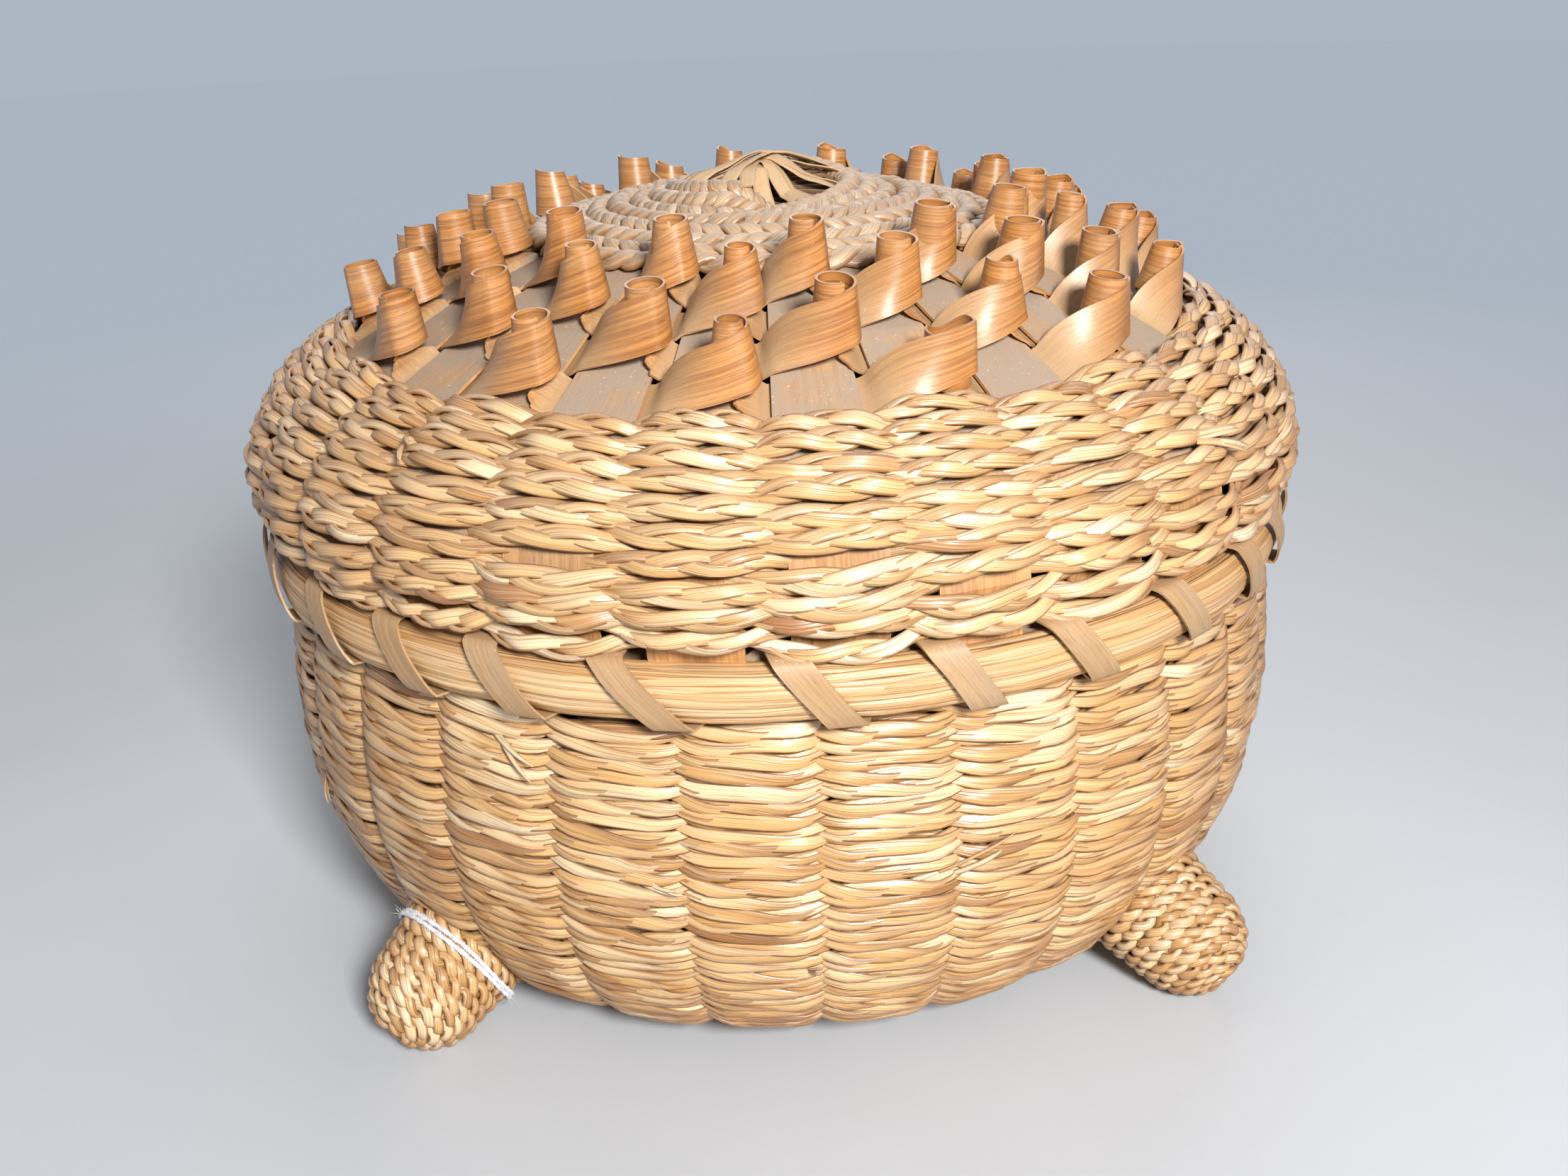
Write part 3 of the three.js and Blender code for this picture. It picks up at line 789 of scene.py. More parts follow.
class StrandSweep:
    """Geometry Nodes tree that gives centre lines a flattened round section."""

    def __init__(self) -> None:
        """Builds the tree."""
        tree = bpy.data.node_groups.new("strand sweep", "GeometryNodeTree")
        self.tree = tree
        self.ids: dict[str, str] = {}
        for name, kind, value in (
            ("Geometry", "NodeSocketGeometry", None),
            ("Strand Width", "NodeSocketFloat", 0.002),
            ("Flatness", "NodeSocketFloat", 0.5),
            ("Sides", "NodeSocketInt", 8),
            ("Wander", "NodeSocketFloat", 0.0),
            ("Wander Scale", "NodeSocketFloat", 120.0),
            ("Seed", "NodeSocketInt", 1),
            ("Finish", "NodeSocketMaterial", None),
        ):
            socket = tree.interface.new_socket(name=name, in_out="INPUT", socket_type=kind)
            if value is not None:
                socket.default_value = value
            self.ids[name] = socket.identifier
        tree.interface.new_socket(name="Geometry", in_out="OUTPUT", socket_type="NodeSocketGeometry")
        sheet = Sheet(tree)
        source, sink = tree.nodes.new("NodeGroupInput"), tree.nodes.new("NodeGroupOutput")
        given = source.outputs
        lines = sheet.add("GeometryNodeMeshToCurve", Mesh=given["Geometry"]).outputs[0]
        spot = sheet.add("GeometryNodeInputPosition").outputs[0]
        noise = sheet.add("ShaderNodeTexNoise", {"noise_dimensions": "4D"}, Vector=spot, W=given["Seed"],
                          Scale=given["Wander Scale"], Detail=1.0)
        centred = sheet.add("ShaderNodeVectorMath", {"operation": "SUBTRACT"})
        sheet.feed(centred.inputs[0], noise.outputs["Color"])
        sheet.feed(centred.inputs[1], (0.5, 0.5, 0.5))
        shift = sheet.add("ShaderNodeVectorMath", {"operation": "SCALE"}, Scale=given["Wander"])
        sheet.feed(shift.inputs[0], centred.outputs[0])
        lines = sheet.add("GeometryNodeSetPosition", Geometry=lines, Offset=shift.outputs[0]).outputs[0]
        lay = sheet.add("GeometryNodeInputNamedAttribute", {"data_type": "FLOAT_VECTOR"}, Name="lay")
        lines = sheet.add("GeometryNodeSetCurveNormal", {"mode": "FREE"}, Curve=lines, Normal=lay.outputs[0])
        way = sheet.add("GeometryNodeSplineParameter").outputs["Length"]
        on_points = {"data_type": "FLOAT", "domain": "POINT"}
        lines = sheet.add("GeometryNodeStoreNamedAttribute", on_points, Geometry=lines.outputs[0],
                          Name="along", Value=way).outputs[0]
        ring = sheet.add("GeometryNodeCurvePrimitiveCircle", {"mode": "RADIUS"}, Resolution=given["Sides"],
                         Radius=0.5)
        ring_spot = sheet.add("GeometryNodeInputPosition").outputs[0]
        across = sheet.times(sheet.add("ShaderNodeSeparateXYZ", Vector=ring_spot).outputs[1], 2.0)
        ring = sheet.add("GeometryNodeStoreNamedAttribute", on_points, Geometry=ring.outputs[0],
                         Name="across", Value=across).outputs[0]
        thick = sheet.times(given["Strand Width"], given["Flatness"])
        size = sheet.vector(thick, given["Strand Width"], 1.0)
        ring = sheet.add("GeometryNodeTransform", Geometry=ring, Scale=size).outputs[0]
        wide = sheet.add("GeometryNodeInputNamedAttribute", {"data_type": "FLOAT"}, Name="wide").outputs[0]
        mesh = sheet.add("GeometryNodeCurveToMesh", Curve=lines, Profile_Curve=ring, Scale=wide,
                         Fill_Caps=True)
        smooth = sheet.add("GeometryNodeSetShadeSmooth", Geometry=mesh.outputs[0])
        whole = sheet.add("GeometryNodeRealizeInstances", Geometry=smooth.outputs[0])
        dressed = sheet.add("GeometryNodeSetMaterial", Geometry=whole.outputs[0], Material=given["Finish"])
        sheet.feed(sink.inputs[0], dressed.outputs[0])

    def run(self, book: StrandBook, name: str, section: Section, finish: Material, seed: int = 1) -> Piece:
        """Sweeps a book of strands into one mesh.

        Args:
            book: The centre lines.
            name: Name of the piece.
            section: Section of a strand.
            finish: Its material.
            seed: Seed of the straying.

        Returns:
            The piece, with no modifier left.
        """
        carrier = book.carrier(name + "_lines")
        modifier = carrier.modifiers.new("sweep", "NODES")
        modifier.node_group = self.tree
        for label, value in (
            ("Strand Width", section.width * MM), ("Flatness", section.flatness), ("Sides", section.sides),
            ("Wander", section.wander * MM), ("Seed", seed), ("Finish", finish),
        ):
            modifier[self.ids[label]] = value
        seen = carrier.evaluated_get(bpy.context.evaluated_depsgraph_get())
        mesh = bpy.data.meshes.new_from_object(seen)
        mesh.name = name
        piece = new_object(name, mesh)
        lines = carrier.data
        bpy.data.objects.remove(carrier)
        bpy.data.meshes.remove(lines)
        return piece


def settle(piece: Piece, body: Body, slot: str, *nodes: str) -> None:
    """Hands a finished piece to its body.

    Args:
        piece: The piece.
        body: The body that it rides on.
        slot: Not used.
        *nodes: CAD nodes that it stands for.
    """
    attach(piece, body.value)
    if nodes:
        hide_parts(*nodes)
    faces = sum(len(p.vertices) - 2 for p in piece.data.polygons)
    LOG.info("%s: %d triangles on %s", piece.name, faces, body.value)


def dress_nodes(nodes: Nodes, starts: tuple[str, ...], finish: Material) -> None:
    """Gives a finish to the CAD nodes whose names start in one of some ways.

    Args:
        nodes: The CAD nodes.
        starts: The starts of the names.
        finish: The finish.
    """
    for name, node in nodes.items():
        if name.startswith(starts):
            node.data.materials.clear()
            node.data.materials.append(finish)


def plain_mesh(
    name: str, points: np.ndarray, faces: Sequence[Sequence[int]], values: dict[str, np.ndarray],
    finish: Material, sharp: float = 50.0,
) -> Piece:
    """Makes a mesh piece from points and faces.

    Args:
        name: Name of the piece.
        points: Its points, in millimetres.
        faces: Its faces, as rows of point numbers.
        values: Numbers that its points carry.
        finish: Its material.
        sharp: Angle from which an edge is sharp, degrees.

    Returns:
        The piece.
    """
    mesh = bpy.data.meshes.new(name)
    mesh.from_pydata((points * MM).tolist(), [], faces)
    for label, numbers in values.items():
        mesh.attributes.new(label, "FLOAT", "POINT").data.foreach_set("value", numbers.astype(np.float32))
    mesh.materials.append(finish)
    mesh.shade_smooth()
    mesh.set_sharp_from_angle(angle=math.radians(sharp))
    return new_object(name, mesh)


@dataclass
class Braid:
    """How the strands of one row lie beside and over each other."""

    strands: int = 3
    swing: float = 1.3
    depth: float = 0.45
    repeats: int = 22
    width: float = 2.5
    flatness: float = 0.5
    waist: float = 0.55
    taper: float = 0.72
    drift: float = 0.5
    lean: float = 0.7
    leaf: float = 0.0
    mottle: float = 0.24

    def deep(self, angle: np.ndarray) -> np.ndarray:
        """How far a strand lies over the middle of its row: plaited for three strands, twisted for two."""
        return self.depth * (np.cos(angle) if self.strands == 2 else np.sin(2 * angle))


@dataclass
class Opening:
    """A place where two rows have moved apart and a splint shows."""

    azimuth: float
    way: float
    wide: float
    reach: float = 9.0


@dataclass
class WovenWall:
    """Rows of grass that pass over one splint and under the next."""

    name: str
    body: Body
    node: str
    outline: tuple[tuple[float, float], ...]
    turn: float
    braid: Braid
    first: float
    pitch: float
    rows: int
    over: float
    under: float
    sag: float
    samples: int
    sides: int
    seed: int
    pieces: int
    stray: float = 0.25
    wander: float = 0.3
    parity: int = 0
    openings: tuple[Opening, ...] = ()
    line: Outline = field(init=False)

    def __post_init__(self) -> None:
        """Smooths the outline."""
        self.line = Outline(self.outline)

    def _way(
        self, number: int, turn: np.ndarray, azimuth: np.ndarray, under: np.ndarray, rng: Rng
    ) -> np.ndarray:
        """Finds where along the outline a row runs.

        Args:
            number: Number of the row.
            turn: Places around it, 0 to 1.
            azimuth: The same places as angles.
            under: 1 where it passes deepest under a splint, 0 where it passes over.
            rng: Source of random numbers.

        Returns:
            The way down the outline at each place.
        """
        start = self.first + number * self.pitch
        sag = self.sag * (1 + wobble(rng, turn, COLUMNS, 0.6))
        way = start + sag * under + wobble(rng, turn, COLUMNS, self.stray)
        way = way + wobble(rng, turn, 9, self.stray)
        for opening in self.openings:
            near = np.exp(-((short_turn(azimuth - math.radians(opening.azimuth)) / (0.62 * STEP)) ** 2))
            off = start - opening.way
            push = near * opening.wide / 2 * np.tanh(off / 1.2)
            way = way + push * math.exp(-((off / opening.reach) ** 2))
        return np.clip(way, 0, self.line.length)

    def row(self, book: StrandBook, number: int, rng: Rng) -> None:
        """Adds the strands of one row.

        Args:
            book: Where the strands go.
            number: Number of the row, from the top.
            rng: Source of random numbers.
        """
        turn, azimuth = ring_places(COLUMNS * self.samples)
        wave = np.cos(np.pi * ((azimuth - math.radians(self.turn)) / STEP + number + self.parity))
        braid = self.braid
        longer = np.clip(wave + 0.3 * braid.leaf, -1, 1)
        flat = longer * (1.5 - 0.5 * longer * longer)
        under = np.maximum(flat, 0)
        spot, tangent, normal = self.line.at(self._way(number, turn, azimuth, under, rng))
        lift = (self.under - self.over) / 2 * flat - (self.under + self.over) / 2
        lift = lift + under * wobble(rng, turn, COLUMNS, 0.25)
        shape = (1 - braid.leaf) * np.abs(flat) ** 0.8 + braid.leaf * np.abs(longer) ** 0.9
        full = (braid.waist + (1 - braid.waist) * shape) * (1 + wobble(rng, turn, COLUMNS, 0.16))
        shift = rng.uniform(0, 2 * np.pi)
        slack = wobble(rng, turn, 17, braid.drift)
        row_tone = rng.uniform(-0.1, 0.1)
        for strand in range(braid.strands):
            angle = braid.repeats * azimuth + shift + slack + 2 * np.pi * strand / braid.strands
            aside = braid.swing * full * np.sin(angle)
            deep = lift + full * braid.deep(angle)
            points = stand(spot + normal * deep[:, None] + tangent * aside[:, None], azimuth)
            tilt = braid.lean * np.sin(angle)
            lay = stand(normal + tangent * tilt[:, None], azimuth)
            wide = braid.taper + (1 - braid.taper) * full
            wide = wide * rng.uniform(0.88, 1.12) * (1 + wobble(rng, turn, 40, 0.1))
            tone = 0.5 + row_tone + rng.uniform(-0.22, 0.22) + wobble(rng, turn, COLUMNS, braid.mottle)
            book.add(points, lay, wide, tone, depth=-lift)

    def build(self, sweep: StrandSweep, finish: Material) -> None:
        """Builds the wall.

        Args:
            sweep: The tree that sweeps the strands.
            finish: The grass.
        """
        rng = np.random.default_rng(self.seed)
        section = Section(self.braid.width, self.braid.flatness, self.sides, self.wander)
        for part, numbers in enumerate(np.array_split(np.arange(self.rows), self.pieces), 1):
            book = StrandBook()
            for number in numbers:
                self.row(book, int(number), rng)
            piece = sweep.run(book, f"{self.name}_{part}", section, finish, self.seed)
            settle(piece, self.body, "sweetgrass", self.node)


@dataclass
class TwinedRing:
    """Coarse pairs of strands twined round the middle of the lid, on a shrunken copy of the CAD ring.

    The rows nearest the middle lie on the rising splints themselves.
    """

    inner: tuple[float, float] = (25.2, 132.8)
    outer: tuple[float, float] = (44.1, 127.8)
    thick: float = 2.2
    rows: int = 5
    close_rows: tuple[float, ...] = (23.2, 19.6, 16.2)
    section: Section = Section(3.3, 0.5, 8, 0.35)
    seed: int = 11

    def rest(self, radius: float, azimuth: np.ndarray, splints: BVHTree) -> np.ndarray:
        """Finds the height at which a strand lies on the splints around a circle.

        Args:
            radius: Radius of the circle.
            azimuth: Places around it.
            splints: The splints.

        Returns:
            The height at each place.
        """
        spots = place(radius, 0, ABOVE, azimuth) * MM
        hits = [splints.ray_cast(Vector(spot), DOWN)[0] for spot in spots]
        found = np.array([hit.z / MM if hit else 0.0 for hit in hits])
        top = np.maximum(found, self.inner[1] - 0.6)
        spread = range(-6, 7)
        top = np.max([np.roll(top, shift) for shift in spread], axis=0)
        return np.mean([np.roll(top, shift) for shift in spread], axis=0) + 0.5

    def build(self, sweep: StrandSweep, finish: Material, node: Piece, splints: BVHTree) -> None:
        """Builds the ring.

        Args:
            sweep: The tree that sweeps the strands.
            finish: The grass.
            node: The CAD ring.
            splints: The splints of the lid, to lie on.
        """
        rng = np.random.default_rng(self.seed)
        book = StrandBook(self.seed)
        line = Outline([self.inner, self.outer])
        pitch = line.length / self.rows
        count = COLUMNS * 9
        turn, azimuth = ring_places(count)
        for number in range(-len(self.close_rows), self.rows):
            if number < 0:
                radius = self.close_rows[-number - 1]
                height = self.rest(radius, azimuth, splints)
                spot = np.stack([np.full(count, radius) + wobble(rng, turn, 20, 0.3), height], -1)
                _, tangent, normal = line.at(np.zeros(count))
                base = 0.0
            else:
                spot, tangent, normal = line.at(pitch * (number + 0.5) + wobble(rng, turn, 20, 0.3))
                base = self.thick / 2 + 0.1
            repeats = COLUMNS if number % 2 else -COLUMNS
            shift = rng.uniform(0, 6)
            for strand in range(2):
                angle = repeats * azimuth + shift + wobble(rng, turn, 30, 0.4) + np.pi * strand
                aside = 1.05 * np.sin(angle)
                deep = base + 0.65 * np.cos(angle) + wobble(rng, turn, 40, 0.12)
                points = stand(spot + normal * deep[:, None] + tangent * aside[:, None], azimuth)
                lay = stand(normal + tangent * (0.5 * np.sin(angle))[:, None], azimuth)
                wide = rng.uniform(0.9, 1.1) * (1 + wobble(rng, turn, 30, 0.12))
                book.add(points, lay, wide, rng.uniform(0.3, 0.95), depth=-deep)
        piece = sweep.run(book, "lid_ring_twining", self.section, finish, self.seed)
        settle(piece, Body.LID, "sweetgrass", node.name)
        add_core(node, "lid_ring_core", 0.9, finish, Body.LID, "sweetgrass")


def add_core(node: Piece, name: str, inset: float, finish: Material, body: Body, slot: str) -> None:
    """Fills a piece with a copy of its CAD node whose surface is moved inwards, in a dark tone as painted
    shade between the strands.

    Args:
        node: The CAD node.
        name: Name of the copy.
        inset: How far its surface moves, in millimetres.
        finish: Its material.
        body: The body that it rides on.
        slot: Handed on to settle.
    """
    shell = bmesh.new()
    shell.from_mesh(node.data)
    bmesh.ops.remove_doubles(shell, verts=shell.verts, dist=1e-6)
    shell.normal_update()
    longest = 1.6
    moved = [v.co - v.normal * inset * MM * min(v.calc_shell_factor(), longest) for v in shell.verts]
    for vert, spot in zip(shell.verts, moved):
        vert.co = spot
    points = np.array([vert.co for vert in shell.verts]) / MM
    faces = [[vert.index for vert in face.verts] for face in shell.faces]
    shell.free()
    # The core takes a low tone, so it shows dark where it is seen between the strands: painted shade in the
    # gaps.
    values = {
        "across": points[:, 2] / 3, "along": np.arctan2(points[:, 0], points[:, 1]) * 0.09,
        "tone": np.full(len(points), 0.1),
    }
    settle(plain_mesh(name, points, faces, values, finish), body, slot, node.name)


@dataclass
class RimBundle:
    """Straight stems laid side by side around the lid's rim, pinched where the lashing passes."""

    radius: float = 97.9
    low: float = 72.4
    high: float = 81.4
    section: Section = Section(1.65, 0.42, 8, 0.2)
    stems: int = 13
    pinched: float = 0.06
    seed: int = 5

    def build(self, sweep: StrandSweep, finish: Material, node: Piece, wraps: np.ndarray) -> None:
        """Builds the bundle.

        Args:
            sweep: The tree that sweeps the stems.
            finish: The stems' grass.
            node: The CAD bundle.
            wraps: Azimuths where the lashing crosses the face, in radians.
        """
        rng = np.random.default_rng(self.seed)
        book = StrandBook()
        middle = (self.low + self.high) / 2
        turn, azimuth = ring_places(COLUMNS * 6)
        off = short_turn(azimuth[:, None] - wraps[None, :])
        pinch = np.exp(-((off / self.pinched) ** 2)).max(1)
        seats = []
        for level in np.linspace(self.low + 0.6, self.high - 0.6, self.stems):
            lean = (level - middle) / (0.5 * (self.high - self.low))
            seats.append((self.radius - 0.3 - 1.6 * abs(lean) ** 2.4, level, (1.0, 1.1 * lean * abs(lean))))
        for height, face in ((self.low + 0.3, -1.0), (self.high - 0.3, 1.0)):
            for back in (2.5, 3.4):
                seats.append((self.radius - back, height, (0.15, face)))
        for out, level, facing in seats:
            rise = wobble(rng, turn, 14, 0.45) + wobble(rng, turn, 45, 0.12)
            reach = wobble(rng, turn, 22, 0.12) - 0.35 * pinch
            height = middle + (level - middle) * (1 - 0.06 * pinch) + rise * (1 - 0.6 * pinch)
            height = np.clip(height, self.low + 0.3, self.high - 0.3)
            points = place(out + reach, 0, height, azimuth)
            lay = place(facing[0], 0, facing[1], azimuth)
            wide = rng.uniform(0.75, 1.2) * (1 + wobble(rng, turn, 14, 0.2))
            book.add(points, lay, wide, rng.uniform(0.2, 0.95))
        piece = sweep.run(book, "lid_rim_stems", self.section, finish, self.seed)
        settle(piece, Body.LID, "bundle", node.name)
        add_core(node, "lid_rim_core", 0.95, finish, Body.LID, "bundle")


@dataclass
class RimLashing:
    """A thin flat splint wound around a rim, through the wall between each two splints."""

    name: str
    body: Body
    node: str
    outer: float
    inner: float
    hole: float
    free: float
    turn: float
    wide: float
    thick: float = 0.4
    slant: float = 0.5
    seen: tuple[float, ...] = ()
    seed: int = 3

    def crossings(self) -> np.ndarray:
        """Azimuths where the strip crosses the outer face, in radians."""
        return np.array([self._hole(i) + self.slant * STEP / 2 for i in range(COLUMNS)])

    def _hole(self, index: int) -> float:
        """Finds a hole between two splints, moved to where the photograph shows it.

        Args:
            index: Number of the hole.

        Returns:
            Its azimuth, in radians.
        """
        plain = math.radians(self.turn) + (index + 0.42) * STEP
        for azimuth in self.seen:
            off = short_turn(math.radians(azimuth) - self.slant * STEP / 2 - plain)
            if abs(off) < 0.4 * STEP:
                return plain + off
        return plain

    def build(self, finish: Material) -> None:
        """Builds the strip.

        Args:
            finish: The ash.
        """
        rng = np.random.default_rng(self.seed)
        way = 1 if self.hole > self.free else -1
        rows, rows_wide, rows_tone = [], [], []
        for i in range(COLUMNS):
            start, end = self._hole(i), self._hole((i + 1) % COLUMNS)
            if end < start - 1e-6:
                end += 2 * math.pi
            bow = rng.uniform(0.1, 0.35)
            drop = self.hole - self.free
            keys = [
                (self.outer - 1.7, self.hole, 0.0),
                (self.outer - 0.35, self.hole - 0.13 * drop, self.slant * 0.14),
                (self.outer + 0.15 + bow, self.hole - 0.4 * drop, self.slant * 0.42),
                (self.outer + 0.12 + bow / 2, self.hole - 0.75 * drop, self.slant * 0.78),
                (self.outer - 0.55, self.free + 0.35 * way, self.slant),
                (self.outer - 1.5, self.free, self.slant + 0.02),
                (self.inner + 1.1, self.free, self.slant + 0.08),
                (self.inner + 0.1, self.free + 0.3 * way, self.slant + 0.1),
                (self.inner, self.free + 1.4 * way, self.slant + 0.14),
                (self.inner, self.hole - 1.2 * way, 0.9),
                (self.inner + 0.2, self.hole - 0.2 * way, 0.95),
                (self.inner + 1.0, self.hole, 0.97),
            ]
            for out, up, share in keys:
                rows.append((out, up, start + share * (end - start)))
                rows_wide.append(self.wide * rng.uniform(0.95, 1.03))
                rows_tone.append(i)
        path = np.array(rows)
        path[:, 2] = np.unwrap(path[:, 2])
        fine = smooth_loop(path, 3, 2 * math.pi)
        wide = smooth_loop(np.array(rows_wide)[:, None], 3)[:, 0]
        tone = np.repeat(np.array(rows_tone) % 7 / 7.0, 3)
        low = place(fine[:, 0], -wide / 2, fine[:, 1], fine[:, 2])
        high = place(fine[:, 0], wide / 2, fine[:, 1], fine[:, 2])
        face = fine[:, 0] > (self.outer + self.inner) / 2
        roll = np.where(face, 0.95, 0.2)
        piece = ribbon_mesh(self.name, low, high, self.thick, cells=4, tone=tone, roll=roll, finish=finish)
        settle(piece, self.body, "lashing", self.node)


def smooth_loop(rows: np.ndarray, parts: int, full_turn: float = 0.0) -> np.ndarray:
    """Puts more rows between the rows of a closed loop, on a smooth line.

    Args:
        rows: The rows.
        parts: How many rows stand for each one.
        full_turn: What the last column gains in one loop.

    Returns:
        The finer rows.
    """
    gain = np.zeros(rows.shape[1])
    gain[-1] = full_turn
    before = np.vstack([rows[-1:] - gain, rows[:-1]])
    after = np.vstack([rows[1:], rows[:1] + gain])
    later = np.vstack([rows[2:], rows[:2] + gain])
    out = [smooth_between(before, rows, after, later, part / parts) for part in range(parts)]
    return np.stack(out, 1).reshape(-1, rows.shape[1])


def ribbon_mesh(
    name: str, low: np.ndarray, high: np.ndarray, thick: float, cells: int, tone: np.ndarray,
    roll: np.ndarray, finish: Material,
) -> Piece:
    """A closed loop of flat strip between two edge lines.

    Args:
        name: Name of the piece.
        low: One edge of the strip, in millimetres.
        high: The other edge.
        thick: Its thickness.
        cells: Faces across it.
        tone: Shade at each row.
        roll: How clean it is at each row.
        finish: Its material.

    Returns:
        The piece.
    """
    rows = len(low)
    share = np.linspace(0, 1, cells + 1)[None, :, None]
    middle = low[:, None] * (1 - share) + high[:, None] * share
    along = unit(np.roll(middle, -1, 0) - np.roll(middle, 1, 0))
    across = unit(high - low)[:, None]
    normal = unit(np.cross(across, along))
    points = np.concatenate([middle + normal * thick / 2, (middle - normal * thick / 2)[:, ::-1]], 1)
    size = points.shape[1]
    row = np.arange(rows)[:, None]
    side = np.arange(size)[None, :]
    a = row * size + side
    b = row * size + (side + 1) % size
    c = (row + 1) % rows * size + (side + 1) % size
    d = (row + 1) % rows * size + side
    faces = np.stack([a, d, c, b], -1).reshape(-1, 4)
    step = np.linalg.norm(np.diff(np.vstack([middle[:, cells // 2], middle[:1, cells // 2]]), axis=0), axis=1)
    way = np.concatenate([[0], np.cumsum(step)[:-1]]) * MM
    spread = np.concatenate([np.linspace(-1, 1, cells + 1), np.linspace(1, -1, cells + 1)])
    values = {
        "across": np.tile(spread, rows), "along": np.repeat(way, size),
        "tone": np.repeat(tone, size), "roll": np.repeat(roll, size),
    }
    flat = points.reshape(-1, 3)
    quads = flat[faces]
    volume = np.einsum("ij,ij->i", quads[:, 0], np.cross(quads[:, 1], quads[:, 2])).sum()
    volume += np.einsum("ij,ij->i", quads[:, 0], np.cross(quads[:, 2], quads[:, 3])).sum()
    if volume < 0:
        faces = faces[:, ::-1]
    return plain_mesh(name, flat, faces.tolist(), values, finish, sharp=60.0)


@dataclass
class CurlShape:
    """One curl of a row."""

    lift: float = 12.0
    foot: float = 4.3
    top: float = 2.8
    wrap: float = 0.8
    turns: float = 1.0
    lean: float = 0.0
    aside: float = 0.0
    torn: float = 0.0


@dataclass
class CurlRow:
    """A long splint woven around the lid and rolled up to a cone on every second upright."""

    number: int
    centre: tuple[float, float]
    pitch: float
    turn: float
    wide: float = 8.6
    thick: float = 0.42
    gap: float = 0.85
    overhang: float = 1.8
    first_low: float = 3.1
    press: float = 2.2
    splint_wide: float = 14.5
    fill: float = 0.82
    special: dict[int, CurlShape] = field(default_factory=dict)

    def _edge(self) -> float:
        """Half the width of an upright splint under this row, and a little more."""
        room = 2 * self.centre[0] * math.tan(STEP / 2)
        return min(self.splint_wide, self.fill * room) / 2 + 0.25

    def frames(self, index: int, shape: CurlShape) -> list[tuple[np.ndarray, np.ndarray, float]]:
        """Edge pairs of the strip from under one splint to the end of its curl on the next.

        Args:
            index: Number of the curl in the row.
            shape: The curl.

        Returns:
            Low edge, high edge and how clean the strip is, for each row.
        """
        angle = math.radians(self.pitch)
        uphill = np.array([-math.cos(angle), math.sin(angle)])
        normal = np.array([math.sin(angle), math.cos(angle)])
        lean = math.radians(4 + shape.lean)
        upright = np.array([math.sin(lean), math.cos(lean)])
        centre = np.array(self.centre)
        half = self.wide / 2
        edge = self._edge()
        axis = edge + self.overhang - shape.foot + shape.aside
        under = self.turn + (2 * index - 1) * STEP
        over = self.turn + 2 * index * STEP

        def flat(side: float, up: float, off: float, azimuth: float = over) -> np.ndarray:
            """A point beside the middle of the splint, up the slope and off it."""
            r, z = centre + uphill * up + normal * off
            return place(r, side, z, azimuth)

        def round_point(radius: float, turn: float, height: float, tilt: float) -> np.ndarray:
            """Gives a point of the roll, on a ring that tilts with the slope.

            Args:
                radius: Radius of the roll there.
                turn: Turn around its axis, in radians.
                height: Height along the axis.
                tilt: Share of the slope that the ring follows.

            Returns:
                The point.
            """
            r, z = centre + upright * height
            out = radius * math.cos(turn)
            return place(r + out, axis + radius * math.sin(turn), z - out * math.tan(angle * tilt), over)

        rows = []
        for side in (-edge, 0.0, edge):
            rows.append((flat(side, -half, -self.gap, under), flat(side, half, -self.gap, under), 0.15))
        climb = shape.lift - self.first_low - self.wide
        start = math.radians(46)
        steps = 26
        roll = []
        for step in range(steps + 1):
            share = step / steps
            turn = start + 2 * math.pi * shape.turns * share
            shrink = shape.wrap * share ** 0.7
            low_up = self.first_low + climb * math.sin(min(1.0, share / 0.5) * math.pi / 2)
            worn = shape.torn * (0.5 + 0.5 * math.sin(19 * share + 1)) * (share < 0.5)
            low = round_point(shape.foot - shrink, turn, low_up - climb * 0.3 * share, 0.6)
            high = round_point(shape.top - 0.8 * shrink, turn, low_up + self.wide - worn, 0.3)
            roll.append((low, high, 1.0))
        low_end, high_end = roll[0][0], roll[0][1]
        low_start = flat(-edge, -half, self.gap)
        final = math.pi / 2 - angle + lean
        for share in (0.0, 0.1, 0.22, 0.34, 0.46, 0.58, 0.7, 0.8, 0.9):
            turned = final * (1 - (1 - share) ** 2.0)
            way = uphill * math.cos(turned) + normal * math.sin(turned)
            rise = stand(way, over) * self.wide
            last = uphill * math.cos(final) + normal * math.sin(final)
            miss = high_end - low_end - stand(last, over) * self.wide
            low = low_start + (low_end - low_start) * share
            bulge = 0.9 * math.sin(math.pi * share ** 1.2)
            low = low + place(bulge, 0, -0.25 * bulge, over)
            rows.append((low, low + rise + miss * share ** 2, min(1.0, 0.1 + 1.1 * share)))
        rows.extend(roll)
        neck = (flat(axis + 0.4, -2.4, 1.7), flat(axis + 0.6, 0.9, 2.9))
        for share in (0.3, 0.62):
            low = rows[-1][0] + (neck[0] - roll[-1][0]) * 0.3
            rows.append((low, roll[-1][1] + (neck[1] - roll[-1][1]) * share, 0.9))
        rows.append((*neck, 0.8))
        rows.append((flat(axis + 1.6, -3.5, self.gap + 0.2), flat(axis + 1.6, 2.6, self.gap + 0.7), 0.7))
        rows.append((flat(edge, -half, self.gap), flat(edge, half, self.gap), 0.5))
        return rows

